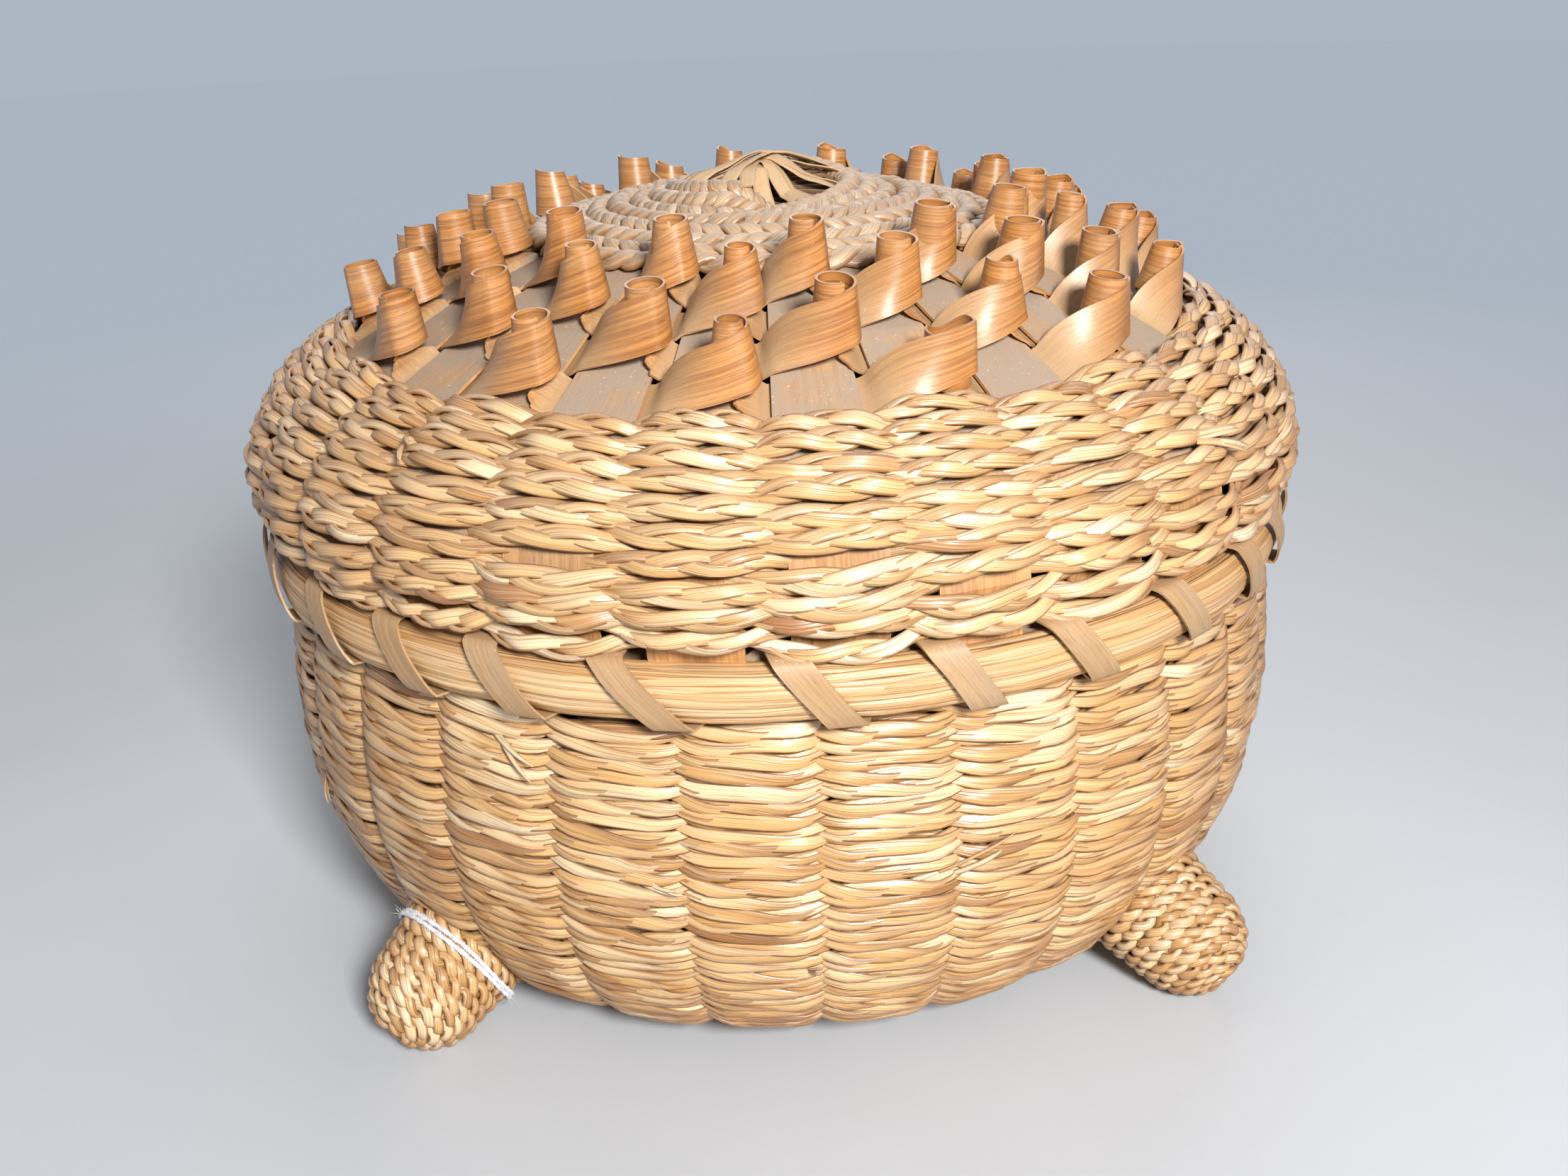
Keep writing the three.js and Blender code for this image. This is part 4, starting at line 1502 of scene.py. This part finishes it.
    def build(self, finish: Material) -> None:
        """Builds the row.

        Args:
            finish: The ash of the curls.
        """
        rng = np.random.default_rng(40 + self.number)
        lows, highs, rolls, tones = [], [], [], []
        for index in range(COLUMNS // 2):
            pressed = self.press * (1 - math.cos(self.turn + 2 * index * STEP)) / 2
            shape = self.special.get(index) or CurlShape(
                lift=rng.uniform(11.9, 12.7) - pressed, foot=rng.uniform(3.8, 4.6), top=rng.uniform(2.6, 3.4),
                wrap=rng.uniform(0.6, 1.1), turns=rng.uniform(0.92, 1.1), lean=rng.uniform(-5, 6),
                aside=rng.uniform(-0.8, 0.4),
            )
            shade = rng.uniform(0, 1)
            for low, high, roll in self.frames(index, shape):
                lows.append(low)
                highs.append(high)
                rolls.append(roll)
                tones.append(shade)
        loop = smooth_loop(np.hstack([np.array(lows), np.array(highs)]), 2)
        roll = np.clip(smooth_loop(np.array(rolls)[:, None], 2)[:, 0], 0, 1)
        tone = np.repeat(np.array(tones), 2)
        piece = ribbon_mesh(
            f"lid_curls_{self.number}", loop[:, :3], loop[:, 3:], self.thick, cells=4, tone=tone, roll=roll,
            finish=finish,
        )
        settle(piece, Body.LID, "curl", f"lid_curl_strip_{self.number}")


@dataclass
class SplintEnds:
    """The thinned middles of the lid's splints, bent over each other at the peak inside the ring."""

    count: int = 10
    reach: float = 17.0
    section: Section = Section(3.7, 0.13, 10, 0.2)
    arch: float = 1.7
    floor: float = 132.6
    seed: int = 71

    def height(self, spots: np.ndarray, splints: BVHTree) -> np.ndarray:
        """Height of the splints under each spot."""
        hits = [splints.ray_cast(Vector((x * MM, y * MM, ABOVE * MM)), DOWN)[0] for x, y in spots[:, :2]]
        return np.array([max(hit.z / MM, self.floor) if hit else self.floor for hit in hits])

    def build(self, sweep: StrandSweep, finish: Material, splints: BVHTree) -> None:
        """Builds the ends.

        Args:
            sweep: The tree that sweeps the strips.
            finish: The ash.
            splints: The splints of the lid, to lie on.
        """
        rng = np.random.default_rng(self.seed)
        book = StrandBook(self.seed)
        run = np.linspace(-self.reach, self.reach, 41)
        for index in range(self.count):
            turn = math.radians(LID_TURN) + index * math.pi / self.count + rng.uniform(-0.09, 0.09)
            aside = rng.uniform(-1.6, 1.6) + 1.2 * np.sin(run / 9 + rng.uniform(0, 6))
            spots = place(run, aside, 0.0, turn)
            lines = [spots + place(0, side, 0.0, turn) for side in (-1.5, 0, 1.5)]
            top = np.max([self.height(line, splints) for line in lines], axis=0)
            top = np.max([np.roll(top, shift) for shift in range(-3, 4)], axis=0)
            top = np.convolve(np.pad(top, 3, "edge"), np.ones(7) / 7, "valid")
            share = np.abs(run) / self.reach
            rise = self.arch * rng.uniform(0.1, 1.0) * (1 - share) ** 0.8
            points = spots.copy()
            points[:, 2] = top + 0.3 + 0.07 * index * (1 - share) + rise - 0.7 * share ** 6
            slope = np.gradient(points[:, 2], run)
            lay = place(-slope, 0.25 * np.sin(run / 5 + index), 1.0, turn)
            wide = rng.uniform(0.75, 1.1) * (0.82 + 0.18 * share) * (1 + 0.08 * np.sin(run + index))
            book.add(points, lay, wide, rng.uniform(0, 1), closed=False)
        piece = sweep.run(book, "lid_splint_middles", self.section, finish, self.seed)
        settle(piece, Body.LID, "splint")


@dataclass
class WovenFoot:
    """A blunt cone of twined grass that points out and down."""

    node: str
    azimuth: float
    base: tuple[float, float] = (80.0, 18.5)
    tip: tuple[float, float] = (95.5, 9.9)
    base_radius: float = 12.8
    tip_radius: float = 10.6
    pitch: float = 2.35
    stitch: float = 6.4
    section: Section = Section(1.95, 0.55, 7, 0.3)
    seed: int = 21

    def axes(self) -> tuple[np.ndarray, np.ndarray, np.ndarray, np.ndarray]:
        """Finds the axis of the cone.

        Returns:
            Start of the axis, its way, and the two ways across it.
        """
        turn = math.radians(self.azimuth)
        start = place(self.base[0], 0, self.base[1], turn)
        end = place(self.tip[0], 0, self.tip[1], turn)
        way = unit(end - start)
        side = place(0, 1, 0, turn)
        return start, way, side, np.cross(side, way)

    def ring_at(self, run: float) -> tuple[float, float, float]:
        """Finds the ring that lies a run down the cone and over its tip.

        Args:
            run: The run from the base.

        Returns:
            Radius of the ring, its way along the axis, and the slope of the face there.
        """
        length = math.dist(self.base, self.tip)
        if run <= length:
            share = run / length
            return self.base_radius + (self.tip_radius - self.base_radius) * share, run, 0.0
        angle = min((run - length) / self.tip_radius, math.pi / 2)
        return self.tip_radius * math.cos(angle), length + self.tip_radius * math.sin(angle), angle

    def outside(self, points: np.ndarray, wall: Outline, depth: float) -> np.ndarray:
        """Tells which points lie outside the basket's wall.

        Args:
            points: The points.
            wall: Outline of the wall.
            depth: How far inside the outline a point still counts as outside.

        Returns:
            True or False for each point.
        """
        radius = np.hypot(points[:, 0], points[:, 1])
        order = np.argsort(wall.line[:, 1])
        limit = np.interp(points[:, 2], wall.line[order, 1], wall.line[order, 0])
        below = points[:, 2] < wall.line[:, 1].min() + 0.4
        return (radius > limit - depth) | below

    def build(self, sweep: StrandSweep, finish: Material, node: Piece, wall: Outline) -> None:
        """Builds the foot.

        Args:
            sweep: The tree that sweeps the strands.
            finish: The grass.
            node: The CAD foot.
            wall: Outline of the basket's wall.
        """
        rng = np.random.default_rng(self.seed)
        start, way, side, upper = self.axes()
        book = StrandBook()
        length = math.dist(self.base, self.tip)
        whole = length + self.tip_radius * math.pi / 2
        rows = int(whole / self.pitch)
        for number in range(1, rows):
            run = number * self.pitch + rng.uniform(-0.2, 0.2)
            radius, along, slope = self.ring_at(run)
            stitches = max(3, round(2 * math.pi * radius / self.stitch))
            turn, phi = ring_places(stitches * 12)
            out = side * np.cos(phi)[:, None] + upper * np.sin(phi)[:, None]
            normal = out * math.cos(slope) + way * math.sin(slope)
            tangent = way * math.cos(slope) - out * math.sin(slope)
            shift = rng.uniform(0, 6)
            for strand in range(2):
                angle = stitches * phi + shift + np.pi * strand + wobble(rng, turn, stitches * 2, 0.5)
                aside = 0.85 * np.sin(angle) + wobble(rng, turn, 9, 0.25)
                deep = -0.75 + 0.6 * np.cos(angle) + wobble(rng, turn, 13, 0.15)
                points = start + way * along + out * radius
                points = points + normal * deep[:, None] + tangent * aside[:, None]
                points[:, 2] = np.maximum(points[:, 2], 0.75)
                lay = normal + tangent * (0.45 * np.sin(angle))[:, None]
                wide = rng.uniform(0.88, 1.1) * (1 + wobble(rng, turn, stitches, 0.12))
                tone = rng.uniform(0.2, 0.9)
                keep = self.outside(points, wall, 1.2)
                if keep.all():
                    book.add(points, lay, wide, tone, depth=-deep)
                else:
                    self._add_kept(book, points, lay, wide, tone, keep)
        piece = sweep.run(book, self.node + "_twining", self.section, finish, self.seed)
        settle(piece, Body.BASKET, "sweetgrass", self.node)
        add_core(node, self.node + "_core", 1.2, finish, Body.BASKET, "sweetgrass")

    def _add_kept(
        self, book: StrandBook, points: np.ndarray, lay: np.ndarray, wide: np.ndarray, tone: float,
        keep: np.ndarray,
    ) -> None:
        """Adds the parts of a closed strand that are kept, where they are long enough.

        Args:
            book: Where they go.
            points: Points of the strand.
            lay: The way that its flat side faces.
            wide: Its width.
            tone: Its shade.
            keep: True for each point that is kept.
        """
        fewest = 6
        if keep.sum() < fewest:
            return
        count = len(points)
        order = (np.arange(count) + int(np.argmax(~keep))) % count
        for part in np.split(order, np.flatnonzero(np.diff(keep[order].astype(int))) + 1):
            if keep[part[0]] and len(part) >= fewest:
                book.add(points[part], lay[part], wide[part], tone, closed=False)


@dataclass
class TieString:
    """White string around the root of the loose foot, wound twice, with its fuzz."""

    foot: WovenFoot
    along: float = 10.6
    thread: Section = Section(1.0, 0.9, 6)
    hair: Section = Section(0.09, 1.0, 3)
    seed: int = 31

    def build(self, sweep: StrandSweep, finish: Material) -> None:
        """Builds the string.

        Args:
            sweep: The tree that sweeps the thread.
            finish: The thread.
        """
        rng = np.random.default_rng(self.seed)
        start, way, side, upper = self.foot.axes()
        book, fuzz = StrandBook(), StrandBook()
        turn, phi = ring_places(150)
        for loop in range(2):
            out = side * np.cos(phi)[:, None] + upper * np.sin(phi)[:, None]
            radius, _, _ = self.foot.ring_at(self.along)
            along = self.along + 0.75 * loop + wobble(rng, turn, 7, 0.35)
            reach = radius + 0.5 + 0.12 * loop + wobble(rng, turn, 9, 0.12)
            for strand in range(2):
                angle = 60 * phi + np.pi * strand
                spots = start + way * (along + 0.22 * np.sin(angle))[:, None]
                spots = spots + out * (reach + 0.22 * np.cos(angle))[:, None]
                spots[:, 2] = np.maximum(spots[:, 2], 0.6)
                book.add(spots, out, np.full(len(phi), 0.62), rng.uniform(0.3, 0.9))
            for _ in range(45):
                spot = rng.uniform(0, 2 * np.pi)
                facing = side * math.cos(spot) + upper * math.sin(spot)
                root = start + way * (self.along + 0.6) + facing * (radius + 0.6)
                aim = unit(rng.normal(size=3) + facing * 1.2)
                bend = rng.normal(size=3) * 0.5
                t = np.linspace(0, 1, 5)[:, None]
                hair = root + aim * t * rng.uniform(0.8, 2.4) + bend * t * t
                hair[:, 2] = np.maximum(hair[:, 2], 0.2)
                fuzz.add(hair, np.tile([0.1, 0.2, 1.0], (5, 1)), np.linspace(1, 0.4, 5), 0.9, closed=False)
        string = sweep.run(book, "foot_string", self.thread, finish)
        settle(string, Body.BASKET, "string", "foot_tie_string")
        settle(sweep.run(fuzz, "foot_string_fuzz", self.hair, finish), Body.BASKET, "string")


@dataclass
class Fray:
    """A place where broken grass ends stand out of the weave."""

    azimuth: float
    way: float
    long: float
    count: int = 3
    rise: float = 1.4
    turn: float = 0.0


@dataclass
class LooseEnds:
    """Short broken ends of grass at chosen places of a wall."""

    name: str
    body: Body
    wall: WovenWall
    places: tuple[Fray, ...]
    section: Section = Section(1.1, 0.4, 6, 0.3)
    seed: int = 61

    def build(self, sweep: StrandSweep, finish: Material) -> None:
        """Builds the ends.

        Args:
            sweep: The tree that sweeps the strands.
            finish: The grass.
        """
        rng = np.random.default_rng(self.seed)
        book = StrandBook(self.seed)
        t = np.linspace(0, 1, 9)
        for fray in self.places:
            for _ in range(fray.count):
                heading = math.radians(fray.turn + rng.uniform(-16, 16))
                long = fray.long * rng.uniform(0.55, 1.0)
                way = fray.way + rng.uniform(-0.8, 0.8) + long * math.sin(heading) * t
                spot, _, normal = self.wall.line.at(np.clip(way, 0, self.wall.line.length))
                reach = math.radians(fray.azimuth) + long * math.cos(heading) * (t - 0.5) / spot[:, 0]
                lift = -1.2 + (fray.rise * rng.uniform(0.6, 1.2) + 1.2) * np.sin(t * math.pi / 2)
                points, lay = stand(spot + normal * lift[:, None], reach), stand(normal, reach)
                tip = np.where(t > 0.7, 1 - 2.4 * (t - 0.7), 1.0) * rng.uniform(0.6, 1.1)
                book.add(points, lay, tip, rng.uniform(0.5, 1.0), closed=False)
        piece = sweep.run(book, self.name, self.section, finish, self.seed)
        settle(piece, self.body, "sweetgrass")


@dataclass(frozen=True)
class Lamp:
    """A soft lamp that faces the basket: place and size in metres, power in watts."""

    name: str
    spot: Spot
    power: float
    size: float
    colour: Colour
    target: Spot = (0.0, 0.0, 0.07)

    def build(self) -> None:
        """Hangs the lamp."""
        data = bpy.data.lights.new(self.name, "AREA")
        data.energy = self.power
        data.size = self.size
        data.color = self.colour
        lamp = new_object(self.name, data)
        lamp.location = self.spot
        lamp.rotation_euler = (Vector(self.target) - Vector(self.spot)).to_track_quat("-Z", "Y").to_euler()


@dataclass
class Studio:
    """Floor, lamps and the camera of the photograph."""

    focal_px: float = 2200.0
    frame_px: tuple[int, int] = (2212, 1659)
    eye: Spot = (0.0, -298.8, 178.3)
    yaw: float = 0.2
    pitch: float = 22.62
    roll: float = -2.24
    sensor: float = 36.0
    floor_radius: float = 2.4
    floor_corners: int = 64
    horizon: Colour = srgb(172, 182, 194)
    light: Colour = srgb(114, 115, 119)
    lamps: tuple[Lamp, ...] = (
        Lamp("key", (0.17, -0.6, 0.42), power=7.8, size=0.13, colour=(1.0, 0.99, 0.98)),
        Lamp("fill", (-0.9, 0.3, 0.5), power=0.7, size=0.8, colour=(0.98, 0.99, 1.0)),
        Lamp("back", (0.1, 0.9, 0.78), power=5.6, size=0.9, colour=(1.0, 1.0, 1.0)),
    )

    def camera(self) -> None:
        """Places the camera at the photograph's angle."""
        data = bpy.data.cameras.new("photo_camera")
        data.sensor_width = self.sensor
        data.lens = self.focal_px * self.sensor / self.frame_px[0]
        data.clip_start = 0.01
        camera = new_object("photo_camera", data)
        yaw, pitch, roll = (math.radians(v) for v in (self.yaw, self.pitch, self.roll))
        ahead = Vector((math.sin(yaw) * math.cos(pitch), math.cos(yaw) * math.cos(pitch), -math.sin(pitch)))
        right = Vector((math.cos(yaw), -math.sin(yaw), 0.0))
        top = right.cross(ahead)
        turned = right * math.cos(roll) + top * math.sin(roll)
        upper = top * math.cos(roll) - right * math.sin(roll)
        matrix = Matrix((turned, upper, -ahead)).transposed().to_4x4()
        matrix.translation = Vector(self.eye) * MM
        camera.matrix_world = matrix
        bpy.context.scene.camera = camera

    def floor(self) -> None:
        """Lays the pale floor, which fades into the colour of the horizon."""
        count = self.floor_corners
        points = [tuple(place(self.floor_radius, 0, 0, 2 * math.pi * i / count)) for i in range(count)]
        mesh = bpy.data.meshes.new("floor")
        mesh.from_pydata(points, [], [list(range(count))])
        material, sheet, shader = new_material("pale floor")
        spot = sheet.spot()
        away = sheet.remap(sheet.length(spot), 0.2, 0.66)
        cloud = sheet.noise(spot, 14.0, 3.0, 0.6)
        near = sheet.blend(cloud, srgb(187, 191, 196), srgb(195, 199, 204))
        sheet.give(
            shader, Base_Color=sheet.blend(away, near, srgb(20, 21, 23)), Emission_Color=rgba(self.horizon),
            Emission_Strength=sheet.times(away, 0.98),
            Specular_IOR_Level=sheet.remap(away, 0.0, 1.0, 0.5, 0.0),
            Roughness=sheet.remap(cloud, 0.2, 0.8, 0.5, 0.6),
        )
        mesh.materials.append(material)
        new_object("floor", mesh)

    def build(self) -> None:
        """Sets up the stage and the light."""
        scene = bpy.context.scene
        scene.view_settings.view_transform = "Standard"
        world = bpy.data.worlds.new("studio")
        world.use_nodes = True
        scene.world = world
        sheet = Sheet(world.node_tree)
        ray = sheet.add("ShaderNodeLightPath")
        seen = sheet.math("MAXIMUM", ray.outputs["Is Camera Ray"], ray.outputs["Is Glossy Ray"])
        back = world.node_tree.nodes["Background"]
        sheet.give(back, Color=sheet.blend(seen, self.light, self.horizon), Strength=1.0)
        for lamp in self.lamps:
            lamp.build()
        self.floor()
        self.camera()


@dataclass(frozen=True)
class Kit:
    """What the pieces are built with: CAD nodes, sweep of strands and shared node groups."""

    nodes: Nodes
    sweep: StrandSweep
    effects: SharedEffects


BOWL_OUTLINE = (
    (94.6, 71.7), (96.4, 60.0), (97.0, 43.0), (94.7, 28.5), (90.2, 17.0), (83.6, 8.3), (74.5, 6.0),
    (24.7, 6.0),
)
LID_OUTLINE = ((78.5, 115.8), (85.2, 113.2), (92.3, 107.7), (98.0, 99.3), (99.6, 90.5), (97.2, 81.7))
BOWL_TURN = -3.4
LID_TURN = -7.6


@dataclass
class BasketBody:
    """The woven basket with its base, rim and feet."""

    foot_turn: float = -42.3
    feet: tuple[str, ...] = ("foot_front_left", "foot_front_right", "foot_back_right", "foot_back_left")
    wall_start: float = 0.5
    wall_pitch: float = 1.2
    wall_rows: int = 65

    def walls(self, kit: Kit, grass: Material) -> Outline:
        """Builds the wall, its loose ends and the base.

        Args:
            kit: What the pieces are built with.
            grass: The grass.

        Returns:
            The outline of the wall.
        """
        fine = Braid(
            strands=2, swing=0.62, depth=0.4, repeats=20, width=2.66, flatness=0.32, waist=0.36, taper=0.36,
            drift=2.2, lean=0.5, leaf=1.0, mottle=0.24,
        )
        wall = WovenWall(
            "basket_weave", Body.BASKET, "basket_woven_wall", BOWL_OUTLINE, BOWL_TURN, fine,
            first=self.wall_start, pitch=self.wall_pitch, rows=self.wall_rows, over=0.85, under=4.4, sag=1.0,
            samples=12, sides=8, seed=7, pieces=4, stray=0.26,
        )
        wall.build(kit.sweep, grass)
        frays = (
            Fray(-26.0, 5.0, 11.0, 3, 1.4, 24.0), Fray(17.5, 28.0, 14.0, 2, 0.9, -14.0),
            Fray(2.0, 46.0, 4.0, 3, 1.2, -50.0), Fray(-12.0, 27.0, 8.0, 3, 0.8, 8.0),
            Fray(38.0, 20.0, 9.0, 3, 1.2, -20.0), Fray(-60.0, 32.0, 7.0, 3, 1.2, 30.0),
            Fray(110.0, 22.0, 10.0, 3, 1.2, 20.0), Fray(-150.0, 40.0, 9.0, 3, 1.2, -25.0),
            Fray(172.0, 14.0, 11.0, 2, 1.0, 12.0),
        )
        LooseEnds("basket_loose_ends", Body.BASKET, wall, frays).build(kit.sweep, grass)
        coarse = Braid(strands=3, swing=0.8, depth=0.3, repeats=26, width=1.8, flatness=0.5, waist=0.6)
        base = WovenWall(
            "basket_base", Body.BASKET, "basket_woven_wall", BOWL_OUTLINE, BOWL_TURN, coarse,
            first=self.wall_start + self.wall_rows * self.wall_pitch, pitch=1.75, rows=27, over=0.95,
            under=4.4, sag=0.0, samples=5, sides=5, seed=8, pieces=1, stray=0.2, parity=1,
        )
        base.build(kit.sweep, grass)
        return wall.line

    def build(self, kit: Kit) -> None:
        """Builds and dresses the body.

        Args:
            kit: What the pieces are built with.
        """
        grass = GrassFinish(
            "sweetgrass of the basket", srgb(150, 94, 34), srgb(210, 162, 98), srgb(248, 226, 186), lines=6.0,
            outline=0.8, dust=0.15,
        ).material(kit.effects)
        outline = self.walls(kit, grass)
        for i, name in enumerate(self.feet):
            foot = WovenFoot(name, self.foot_turn + 90 * i, seed=21 + i)
            foot.build(kit.sweep, grass, kit.nodes[name], outline)
            if i == 0:
                TieString(foot).build(kit.sweep, ThreadFinish("white thread").material(kit.effects))
        splint = AshFinish("ash of the basket", srgb(176, 138, 96), srgb(212, 178, 132), dust=0.3)
        material = splint.upright(kit.effects, BOWL_TURN, fall=-1.0)
        dress_nodes(kit.nodes, ("basket_splint", "basket_rim_hoop"), material)
        lashing = AshFinish(
            "lashing of the basket", srgb(178, 150, 112), srgb(216, 190, 150), dust=0.3, coat=0.15
        )
        RimLashing(
            "basket_lashing", Body.BASKET, "basket_rim_lashing", outer=89.2, inner=84.75, hole=72.2,
            free=83.2, turn=BOWL_TURN, wide=4.1,
        ).build(lashing.strip(kit.effects))


@dataclass
class BasketLid:
    """The domed lid: braided wall, rim, fan of splints, curls and twined ring."""

    wall_edge: tuple[float, float] = (77.41, 113.0)
    outer_pitch: float = 27.9
    inner_pitch: float = 20.0
    wide: float = 8.4
    row_space: float = 0.7
    edge_space: float = 0.5
    seat: float = 0.55

    def centres(self) -> list[tuple[tuple[float, float], float, int]]:
        """Finds where the rows of curls lie.

        Returns:
            Middle of each row, with the pitch of its slope and whether it is on odd splints.
        """
        found = []
        spot = np.array(self.wall_edge)
        first = self.edge_space
        for pitch in (self.outer_pitch, self.inner_pitch):
            angle = math.radians(pitch)
            up = np.array([-math.cos(angle), math.sin(angle)])
            down = -self.seat * np.array([math.sin(angle), math.cos(angle)])
            for row in range(2):
                along = first + self.wide / 2 + row * (self.wide + self.row_space)
                found.append((tuple(spot + up * along + down), pitch, row))
            spot = spot + up * (first + 2 * self.wide + self.row_space + self.row_space / 2)
            first = self.row_space / 2
        return found

    def splint_tree(self, kit: Kit) -> BVHTree:
        """Gathers the faces of the lid's CAD splints, to find what lies on them.

        Args:
            kit: What the pieces are built with.

        Returns:
            The faces, in metres.
        """
        points: list[Vector] = []
        faces: list[list[int]] = []
        for name, node in kit.nodes.items():
            if name.startswith("lid_splint"):
                faces.extend([len(points) + i for i in face.vertices] for face in node.data.polygons)
                points.extend(node.matrix_world @ vert.co for vert in node.data.vertices)
        return BVHTree.FromPolygons(points, faces)

    def wall(self, kit: Kit, grass: Material) -> None:
        """Builds the braided wall and its loose ends.

        Args:
            kit: What the pieces are built with.
            grass: The grass.
        """
        openings = (
            Opening(-20.5, 26.5, 3.4), Opening(5.3, 28.5, 2.8), Opening(18.1, 34.5, 3.0),
            Opening(31.0, 37.0, 2.2), Opening(-33.3, 37.5, 2.0), Opening(-46.0, 33.0, 1.6),
            Opening(44.0, 30.0, 1.4), Opening(5.3, 40.0, 1.6), Opening(-20.5, 41.0, 1.6),
            Opening(120.0, 33.0, 2.0), Opening(-140.0, 36.0, 2.4),
        )
        thick = Braid(
            strands=3, swing=1.18, depth=0.62, repeats=19, width=2.4, flatness=0.34, waist=0.58, taper=0.64,
            drift=1.2, lean=0.8, leaf=0.25, mottle=0.26,
        )
        wall = WovenWall(
            "lid_braid", Body.LID, "lid_braided_wall", LID_OUTLINE, LID_TURN, thick, first=1.1, pitch=2.16,
            rows=20, over=1.1, under=4.9, sag=0.45, samples=14, sides=10, seed=9, pieces=3, stray=0.28,
            openings=openings,
        )
        wall.build(kit.sweep, grass)
        frays = (
            Fray(47.0, 20.0, 10.0, 5, 2.0, 25.0), Fray(6.5, 24.0, 6.0, 2, 1.2, -12.0),
            Fray(-38.0, 12.0, 7.0, 3, 1.4, 40.0), Fray(60.0, 28.0, 9.0, 4, 1.6, -30.0),
            Fray(130.0, 16.0, 9.0, 3, 1.3, 20.0), Fray(-120.0, 30.0, 8.0, 3, 1.3, -20.0),
        )
        ends = LooseEnds("lid_loose_ends", Body.LID, wall, frays, Section(1.3, 0.4, 6, 0.3), seed=62)
        ends.build(kit.sweep, grass)

    def peak(self, kit: Kit) -> None:
        """Builds the twined ring and the ends that cross inside it.

        Args:
            kit: What the pieces are built with.
        """
        ring = GrassFinish(
            "sweetgrass of the ring", srgb(148, 106, 66), srgb(188, 150, 108), srgb(230, 204, 168), lines=5.0,
            dust=0.5, gloss=0.8,
        ).material(kit.effects)
        splints = self.splint_tree(kit)
        TwinedRing().build(kit.sweep, ring, kit.nodes["lid_twined_ring"], splints)
        ends = AshFinish(
            "thin ash at the peak", srgb(158, 114, 70), srgb(212, 170, 120), grey=srgb(196, 166, 130),
            dust=0.4,
        )
        SplintEnds().build(kit.sweep, ends.strip(kit.effects), splints)

    def rim(self, kit: Kit) -> None:
        """Builds the bundle of stems and its lashing.

        Args:
            kit: What the pieces are built with.
        """
        stems = GrassFinish(
            "stems of the rim", srgb(176, 124, 68), srgb(208, 164, 110), srgb(228, 194, 148), lines=4.5,
            outline=0.6, dust=0.1, gloss=0.6,
        ).material(kit.effects)
        lashing = AshFinish(
            "lashing of the lid", srgb(146, 108, 66), srgb(190, 154, 108), dust=0.2, contrast=0.4, coat=0.4
        )
        strip = RimLashing(
            "lid_lashing", Body.LID, "lid_rim_lashing", outer=98.3, inner=91.4, hole=83.0, free=72.0,
            turn=LID_TURN, wide=6.1, slant=0.36,
            seen=(-49.5, -37.0, -25.4, -13.2, 2.9, 16.2, 28.0, 41.2, 55.0),
        )
        RimBundle().build(kit.sweep, stems, kit.nodes["lid_rim_bundle"], strip.crossings())
        strip.build(lashing.strip(kit.effects))

    def curls(self, kit: Kit) -> None:
        """Builds the rows of curls, two of them with a torn curl.

        Args:
            kit: What the pieces are built with.
        """
        curl = AshFinish(
            "curled ash", srgb(132, 74, 26), srgb(208, 146, 80), grey=srgb(184, 154, 116), dust=0.6,
            contrast=0.6, roughness=0.4, coat=0.4, wave=0.008, lines=1.5, painted_shade=0.6,
        ).strip(kit.effects)
        torn = {1: CurlShape(lift=8.6, foot=4.4, top=3.9, torn=1.2), 2: CurlShape(lift=12.0, torn=2.2)}
        for number, (centre, pitch, row) in enumerate(self.centres(), 1):
            turn = math.radians(LID_TURN) + row * STEP
            special = {1: torn[number]} if number in torn else {}
            CurlRow(number, centre, pitch, turn, special=special).build(curl)

    def build(self, kit: Kit) -> None:
        """Builds and dresses the lid.

        Args:
            kit: What the pieces are built with.
        """
        grass = GrassFinish(
            "sweetgrass of the lid", srgb(158, 100, 44), srgb(220, 176, 116), srgb(250, 230, 194), lines=6.5,
            outline=0.7, dust=0.22,
        ).material(kit.effects)
        self.wall(kit, grass)
        self.peak(kit)
        self.rim(kit)
        splint = AshFinish(
            "ash of the lid", srgb(168, 112, 58), srgb(212, 162, 104), grey=srgb(162, 142, 122), dust=1.0,
            contrast=0.6,
        )
        material = splint.upright(kit.effects, LID_TURN, fall=1.0)
        dress_nodes(kit.nodes, ("lid_splint", "lid_rim_hoop"), material)
        self.curls(kit)


def main() -> None:
    """Builds the classes in order."""
    logging.basicConfig(level=logging.INFO, format="%(message)s")
    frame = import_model()
    Studio().build()
    kit = Kit(frame["nodes"], StrandSweep(), SharedEffects())
    BasketBody().build(kit)
    BasketLid().build(kit)
    LOG.info("all pieces built")


if __name__ == "__main__":
    main()
